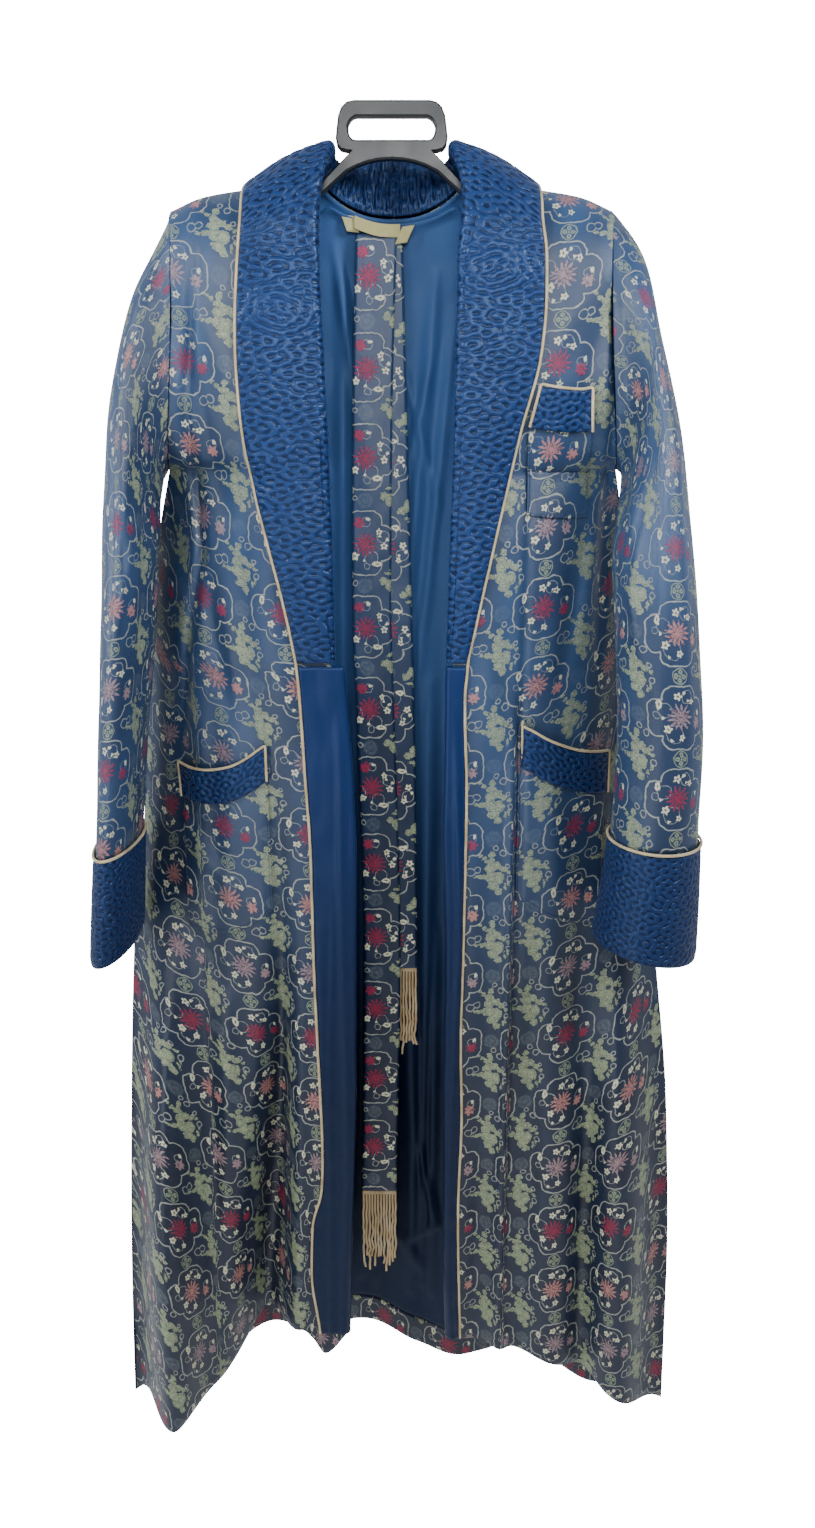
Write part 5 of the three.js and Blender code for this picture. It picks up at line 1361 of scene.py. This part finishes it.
# %% Pockets
POCKETS = [
    # name, front, out at the inner and outer top corners, inner bottom, drops, height, sag, patch, gape
    ("chest", "front_right", front_right, 128, 118.5, 175, 221, 224, 34, 2, 72, 1),
    ("hip_left", "front_left", front_left, 203, 201, 117, 565, 541, 33, 13, 128, 3),
    ("hip_right", "front_right", front_right, 115, 116, 201, 518, 553, 39, 8, 128, 3),
]
pocket_lines, stitch_paths = {}, {}
for name, front, panel, first, first_low, last, drop_first, drop_last, high, sag, patch, gape in POCKETS:

    def pocket_place(u, down):
        start = lerp(first, first_low, np.clip(down / high, 0, 1))
        return lerp(start, last, u), lerp(drop_first, drop_last, u) + sag * np.sin(np.pi * u) + down

    turn = -panel.face * np.sign(panel.sign * (last - first))
    u, v = np.linspace(0, 1, 64)[None, :], np.linspace(0, 1, 28)[:, None]
    out, drop = pocket_place(u, v * high)
    lift = 6.2 + gape * np.sin(np.pi * u) * (1 - v)
    points = panel.on(out, drop, lift)
    wide, long = measure(points)
    place = np.stack([wide + 900 + drop_first, long + 700], -1)
    rise = 0.9 * padding(place[..., 0], place[..., 1])
    rise = rise * ramp(u, 0, 0.05) * ramp(-u, -1, -0.95) * ramp(v, 0, 0.1) * ramp(-v, -1, -0.9)
    band = wall_piece(f"pocket_band_{name}", points, PADDED_WALL, turn, place * MM, [QUILTED], rise=rise)
    sew_on(band, f"pocket_band_{name}")
    lay_out(band, f"pocket_band_{name}", points)
    top_line = points[0] + unit(points[0] - points[2]) * 1.5
    pocket_lines[name] = np.concatenate([points[:10:-1, 0], top_line, points[11:, -1]])

    u, v = np.linspace(0, 1, 70)[None, :], np.linspace(0, 1, 90)[:, None]
    out, drop = pocket_place(u, 4 + v * (high + patch))
    across, level = panel.find(out, drop)
    puff = 0.9 * np.sin(np.pi * u) * np.sin(np.pi * v) + 0.35 * swell(out, drop, 61, 40)
    points = panel.place(across, level) + panel.normal(across, level) * (2.0 + np.clip(puff, 0, 3))[..., None]
    uv = pattern_at(front, across, level) + np.array([1.5, 0.8]) * MM
    piece = wall_piece(f"pocket_patch_{name}", points, PATCH_WALL, turn, uv, [BROCADE])
    sew_on(piece, f"pocket_patch_{name}")
    lay_out(piece, f"pocket_patch_{name}", points)
    stitch_paths[name] = np.concatenate([points[34:-2, 2], points[-3, 2:-2], points[34:-2, -3][::-1]])

# %% [markdown]
# ## Belt and label
# The belt is folded in two over the ribbon at the neck, a long end in front of a short one.
# It is cut along the cloth, so the woven figure lies on its side.

# %% Belt
BELT_LONG = columns("drop x y", [
    (88, -14.5, 33.4), (250, -19.2, 36), (428, -20.8, 37), (514, -18.4, 37), (776, -12.4, 36),
    (1056, -17, 34),
])
BELT_SHORT = columns("drop x y", [
    (88, -9.5, 37), (250, -5.5, 40.6), (428, -1, 41.6), (616, 3.2, 42), (798, 4.8, 41),
])


def strand(table, drops):
    x, y = (curve(table["drop"], table[key])(drops) for key in "xy")
    return np.stack([x, y, -drops], -1)


centre = np.concatenate([
    strand(BELT_LONG, np.linspace(1056, 88, 300)),
    [[-12, 35.2, -85.6]],
    strand(BELT_SHORT, np.linspace(88, 798, 220)),
])
BELT_COLUMNS, BELT_WIDTH = 15, 37
u = np.linspace(0, 1, BELT_COLUMNS)[None, :]
free = np.clip((-centre[:, 2:] - 86) / 200, 0, 1)
points = np.repeat(centre[:, None], BELT_COLUMNS, axis=1)
points[..., 0] += (u - 0.5) * BELT_WIDTH
points[..., 1] -= 1.1 * np.sin(np.pi * u) * free + 0.5 * free * swell(points[..., 0], points[..., 2], 71, 30)
wide, long = measure(points)
uv = np.stack([long + 25, wide - 12], -1) * MM
belt = wall_piece("belt", points, BELT_WALL, -1, uv, [BELT_BROCADE])
sew_on(belt, "belt")
report("belt", points, belt)

# %% Label ribbon
u, v = np.linspace(0, 1, 90)[None, :], np.linspace(0, 1, 16)[:, None]
x = lerp(-34, 7, u) + 0 * v
seat = (x + 42) / 60
y = 33.2 - 5.7 * np.sin(np.pi * seat) ** 0.6 + 4 * seat
z = -lerp(72, 79, u) - 11 * v - 3 * np.sin(np.pi * u)
points = np.stack([x, y + 0.25 * np.sin(x / 3.1) * np.sin(np.pi * v), z], -1)
wide, long = measure(points)
label = wall_piece("label", points, RIBBON_WALL, 1, np.stack([wide, -long], -1) * MM, [RIBBON])
sew_on(label, "label")
report("label", points, label)
LABEL_ENDS = [
    # name, upper corner, width, length, slant
    ("label_end_right", (9, 33.4, -81), 11, 15, 7), ("label_end_left", (-46, 33.6, -71), 11, 14, -5),
]
for name, corner, run, drop_by, tilt in LABEL_ENDS:
    u, v = np.linspace(0, 1, 12)[None, :], np.linspace(0, 1, 16)[:, None]
    x = corner[0] + run * u - tilt * v
    z = corner[2] + 0.22 * tilt * u - drop_by * v
    points = np.stack([x, corner[1] - 1.2 * np.sin(np.pi * v) + 0 * u, z], -1)
    wide, long = measure(points)
    piece = wall_piece(name, points, RIBBON_WALL, 1, np.stack([wide, -long], -1) * MM, [RIBBON])
    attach(piece, "root")
    lay_out(piece, name, points)

# %% [markdown]
# ## Piping, stitches and fringe
# These repeat or follow a line, so they are Geometry Nodes: one tree sweeps a round cord
# along a curve, one sets small stitches along a line, and one hangs the fringe's strands
# from a row of points. Each tree is given its sizes by name and then turned into a mesh.


# %% Geometry Nodes helpers
def node_tree(name, inputs):
    tree = bpy.data.node_groups.new(name, "GeometryNodeTree")
    tree.is_modifier = True
    tree.interface.new_socket("Geometry", in_out="INPUT", socket_type="NodeSocketGeometry")
    for label, kind in inputs:
        tree.interface.new_socket(label, in_out="INPUT", socket_type="NodeSocket" + kind)
    tree.interface.new_socket("Geometry", in_out="OUTPUT", socket_type="NodeSocketGeometry")
    return tree, tree.nodes.new("NodeGroupInput"), tree.nodes.new("NodeGroupOutput")


def add(tree, kind, links=None, **settings):
    """A node with its settings. An input takes a value, a socket, or a node's first output."""
    node = tree.nodes.new(kind)
    for key, value in settings.items():
        setattr(node, key, value)
    for key, value in (links or {}).items():
        if isinstance(value, bpy.types.Node):
            value = value.outputs[0]
        if isinstance(value, bpy.types.NodeSocket):
            tree.links.new(value, node.inputs[key])
        else:
            node.inputs[key].default_value = value
    return node


def hand_out(tree, geometry, start, end, smooth=True):
    """The end of each tree: smooth it, make its copies real, and give it its finish."""
    if smooth:
        geometry = add(tree, "GeometryNodeSetShadeSmooth", {"Geometry": geometry})
    real = add(tree, "GeometryNodeRealizeInstances", {"Geometry": geometry})
    dyed = add(tree, "GeometryNodeSetMaterial", {"Geometry": real, "Material": start.outputs["Finish"]})
    tree.links.new(dyed.outputs[0], end.inputs["Geometry"])


def line_object(points, closed=False):
    data = bpy.data.curves.new("line", "CURVE")
    data.dimensions = "3D"
    spline = data.splines.new("POLY")
    spline.points.add(len(points) - 1)
    spline.points.foreach_set("co", np.c_[points * MM, np.ones(len(points))].ravel())
    spline.use_cyclic_u = closed
    return add_object("line", data)


def grow(source, tree, name, values, move=(0, 0, 0)):
    """Runs a tree on an object and leaves a plain mesh in its place."""
    slots = {i.name: i.identifier for i in tree.interface.items_tree if i.in_out == "INPUT"}
    modifier = source.modifiers.new("grow", "NODES")
    modifier.node_group = tree
    for label, value in values.items():
        modifier[slots[label]] = value
    ready = source.evaluated_get(bpy.context.evaluated_depsgraph_get())
    mesh = bpy.data.meshes.new_from_object(ready)
    mesh.transform(Matrix.Translation(move))
    bpy.data.objects.remove(source)
    return add_object(name, mesh)


# %% Corded piping
piping_tree, start, end = node_tree(
    "Corded edge", [("Radius", "Float"), ("Sides", "Int"), ("Finish", "Material")]
)
profile = add(piping_tree, "GeometryNodeCurvePrimitiveCircle",
              {"Radius": start.outputs["Radius"], "Resolution": start.outputs["Sides"]})
swept = add(piping_tree, "GeometryNodeCurveToMesh",
            {"Curve": start.outputs["Geometry"], "Profile Curve": profile, "Fill Caps": True})
hand_out(piping_tree, swept, start, end)


def spaced(points, step, closed=False):
    """The same line with evenly spaced points."""
    line = np.concatenate([points, points[:1]]) if closed else points
    run = np.concatenate([[0], np.cumsum(np.linalg.norm(np.diff(line, axis=0), axis=-1))])
    at = np.linspace(0, run[-1], max(int(run[-1] / step), 4), endpoint=not closed)
    return np.stack([np.interp(at, run, line[:, k]) for k in range(3)], -1)


def softened(points, passes):
    for _ in range(passes):
        points[1:-1] = (points[:-2] + 2 * points[1:-1] + points[2:]) / 4
    return points


def pipe(name, line, radius, closed=False):
    values = {"Radius": radius, "Sides": 8, "Finish": PIPING}
    piece = grow(line_object(line, closed), piping_tree, name, values)
    sew_on(piece, name)


for side in ("left", "right"):
    pipe(f"edge_piping_{side}", softened(spaced(edge_lines[side], 3.0), 2), 0.0014)
    pipe(f"cuff_piping_{side}", spaced(cuff_lines[side], 3.0, True), 0.0014, closed=True)
for name, line in pocket_lines.items():
    pipe(f"pocket_piping_{name}", softened(spaced(line, 2.0), 1), 0.0013)
print("piping swept")

# %% Stitches round the pocket patches
stitch_tree, start, end = node_tree(
    "Run of stitches", [("Step", "Float"), ("Size", "Float"), ("Finish", "Material")]
)
evenly = add(stitch_tree, "GeometryNodeCurveToPoints",
             {"Curve": start.outputs["Geometry"], "Length": start.outputs["Step"]}, mode="LENGTH")
bead = add(stitch_tree, "GeometryNodeMeshIcoSphere", {"Radius": start.outputs["Size"], "Subdivisions": 1})
long_bead = add(stitch_tree, "GeometryNodeTransform", {"Geometry": bead, "Scale": (0.7, 0.7, 2.6)})
placed = add(stitch_tree, "GeometryNodeInstanceOnPoints",
             {"Points": evenly, "Instance": long_bead, "Rotation": evenly.outputs["Rotation"]})
hand_out(stitch_tree, placed, start, end, smooth=False)
for name, line in stitch_paths.items():
    values = {"Step": 0.0032, "Size": 0.0005, "Finish": SATIN}
    piece = grow(line_object(spaced(line, 2.0)), stitch_tree, f"stitches_{name}", values)
    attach(piece, "root")

# %% Fringe
fringe_tree, start, end = node_tree("Fringe", [
    ("Strands", "Int"), ("Width", "Float"), ("Length", "Float"), ("Radius", "Float"), ("Sway", "Float"),
    ("Seed", "Int"), ("Finish", "Material"),
])
strands = partial(add, fringe_tree)
half_width = strands("ShaderNodeMath", {0: start.outputs["Width"], 1: 0.47}, operation="MULTIPLY")
minus = strands("ShaderNodeMath", {0: half_width, 1: -1.0}, operation="MULTIPLY")
row_from = strands("ShaderNodeCombineXYZ", {"X": minus})
row_to = strands("ShaderNodeCombineXYZ", {"X": half_width})
roots = strands("GeometryNodeMeshLine", {"Count": start.outputs["Strands"], "Start Location": row_from,
                                         "Offset": row_to}, mode="END_POINTS")
down = strands("ShaderNodeMath", {0: start.outputs["Length"], 1: -1.0}, operation="MULTIPLY")
tip = strands("ShaderNodeCombineXYZ", {"Z": down})
yarn = strands("GeometryNodeCurvePrimitiveLine", {"End": tip})
bendy = strands("GeometryNodeResampleCurve", {"Curve": yarn, "Count": 16})
uneven = strands("FunctionNodeRandomValue", {"Seed": start.outputs["Seed"]}, data_type="FLOAT")
uneven.inputs[2].default_value, uneven.inputs[3].default_value = 0.8, 1.06
stretch = strands("ShaderNodeCombineXYZ", {"X": 1.0, "Y": 1.0, "Z": uneven.outputs[1]})
hung = strands("GeometryNodeInstanceOnPoints", {"Points": roots, "Instance": bendy, "Scale": stretch})
loose = strands("GeometryNodeRealizeInstances", {"Geometry": hung})
where = strands("GeometryNodeInputPosition")
depth = strands("ShaderNodeSeparateXYZ", {0: where})
fall = strands("ShaderNodeMath", {0: depth.outputs["Z"], 1: down}, operation="DIVIDE")
drift = strands("ShaderNodeTexNoise", {"Vector": where, "W": start.outputs["Seed"], "Scale": 95.0},
                noise_dimensions="4D")
half_grey = (0.5, 0.5, 0.5)
centred = strands("ShaderNodeVectorMath", {0: drift.outputs["Color"], 1: half_grey}, operation="SUBTRACT")
amount = strands("ShaderNodeMath", {0: fall, 1: start.outputs["Sway"]}, operation="MULTIPLY")
swayed = strands("ShaderNodeVectorMath", {0: centred, 3: amount}, operation="SCALE")
flat_sway = strands("ShaderNodeVectorMath", {0: swayed, 1: (1.0, 0.45, 0.0)}, operation="MULTIPLY")
moved = strands("GeometryNodeSetPosition", {"Geometry": loose, "Offset": flat_sway})
profile = strands("GeometryNodeCurvePrimitiveCircle", {"Radius": start.outputs["Radius"], "Resolution": 6})
swept = strands("GeometryNodeCurveToMesh", {"Curve": moved, "Profile Curve": profile, "Fill Caps": True})
head = strands("GeometryNodeMeshCube", {"Size": (0.0366, 0.0016, 0.004), "Vertices X": 20, "Vertices Z": 3})
both = strands("GeometryNodeJoinGeometry")
fringe_tree.links.new(swept.outputs["Mesh"], both.inputs[0])
fringe_tree.links.new(head.outputs["Mesh"], both.inputs[0])
hand_out(fringe_tree, both, start, end)
for name, table, drop, seed in (("fringe_long", BELT_LONG, 1056, 4), ("fringe_short", BELT_SHORT, 798, 9)):
    spot = strand(table, np.array([float(drop)]))[0]
    source = add_object("seed", bpy.data.meshes.new("seed"))
    values = {"Strands": 12, "Width": 0.037, "Length": 0.094, "Radius": 0.00125, "Sway": 0.012, "Seed": seed,
              "Finish": FRINGE}
    top = (spot[0] * MM, (spot[1] + 0.8) * MM, (spot[2] - 2.6) * MM)
    piece = grow(source, fringe_tree, name, values, top)
    sew_on(piece, name)
    print(name, len(piece.data.polygons), "faces")

# %% [markdown]
# ## The hanger
# The hanger is hard plastic and its solid is already the right shape, so it stays and only
# gets its finish.

# %% Hanger
hanger = nodes["hanger"]
hanger.data.materials.clear()
hanger.data.materials.append(PLASTIC)
print("hanger:", len(hanger.data.polygons), "faces")

# %% Update the scene
bpy.context.view_layer.update()
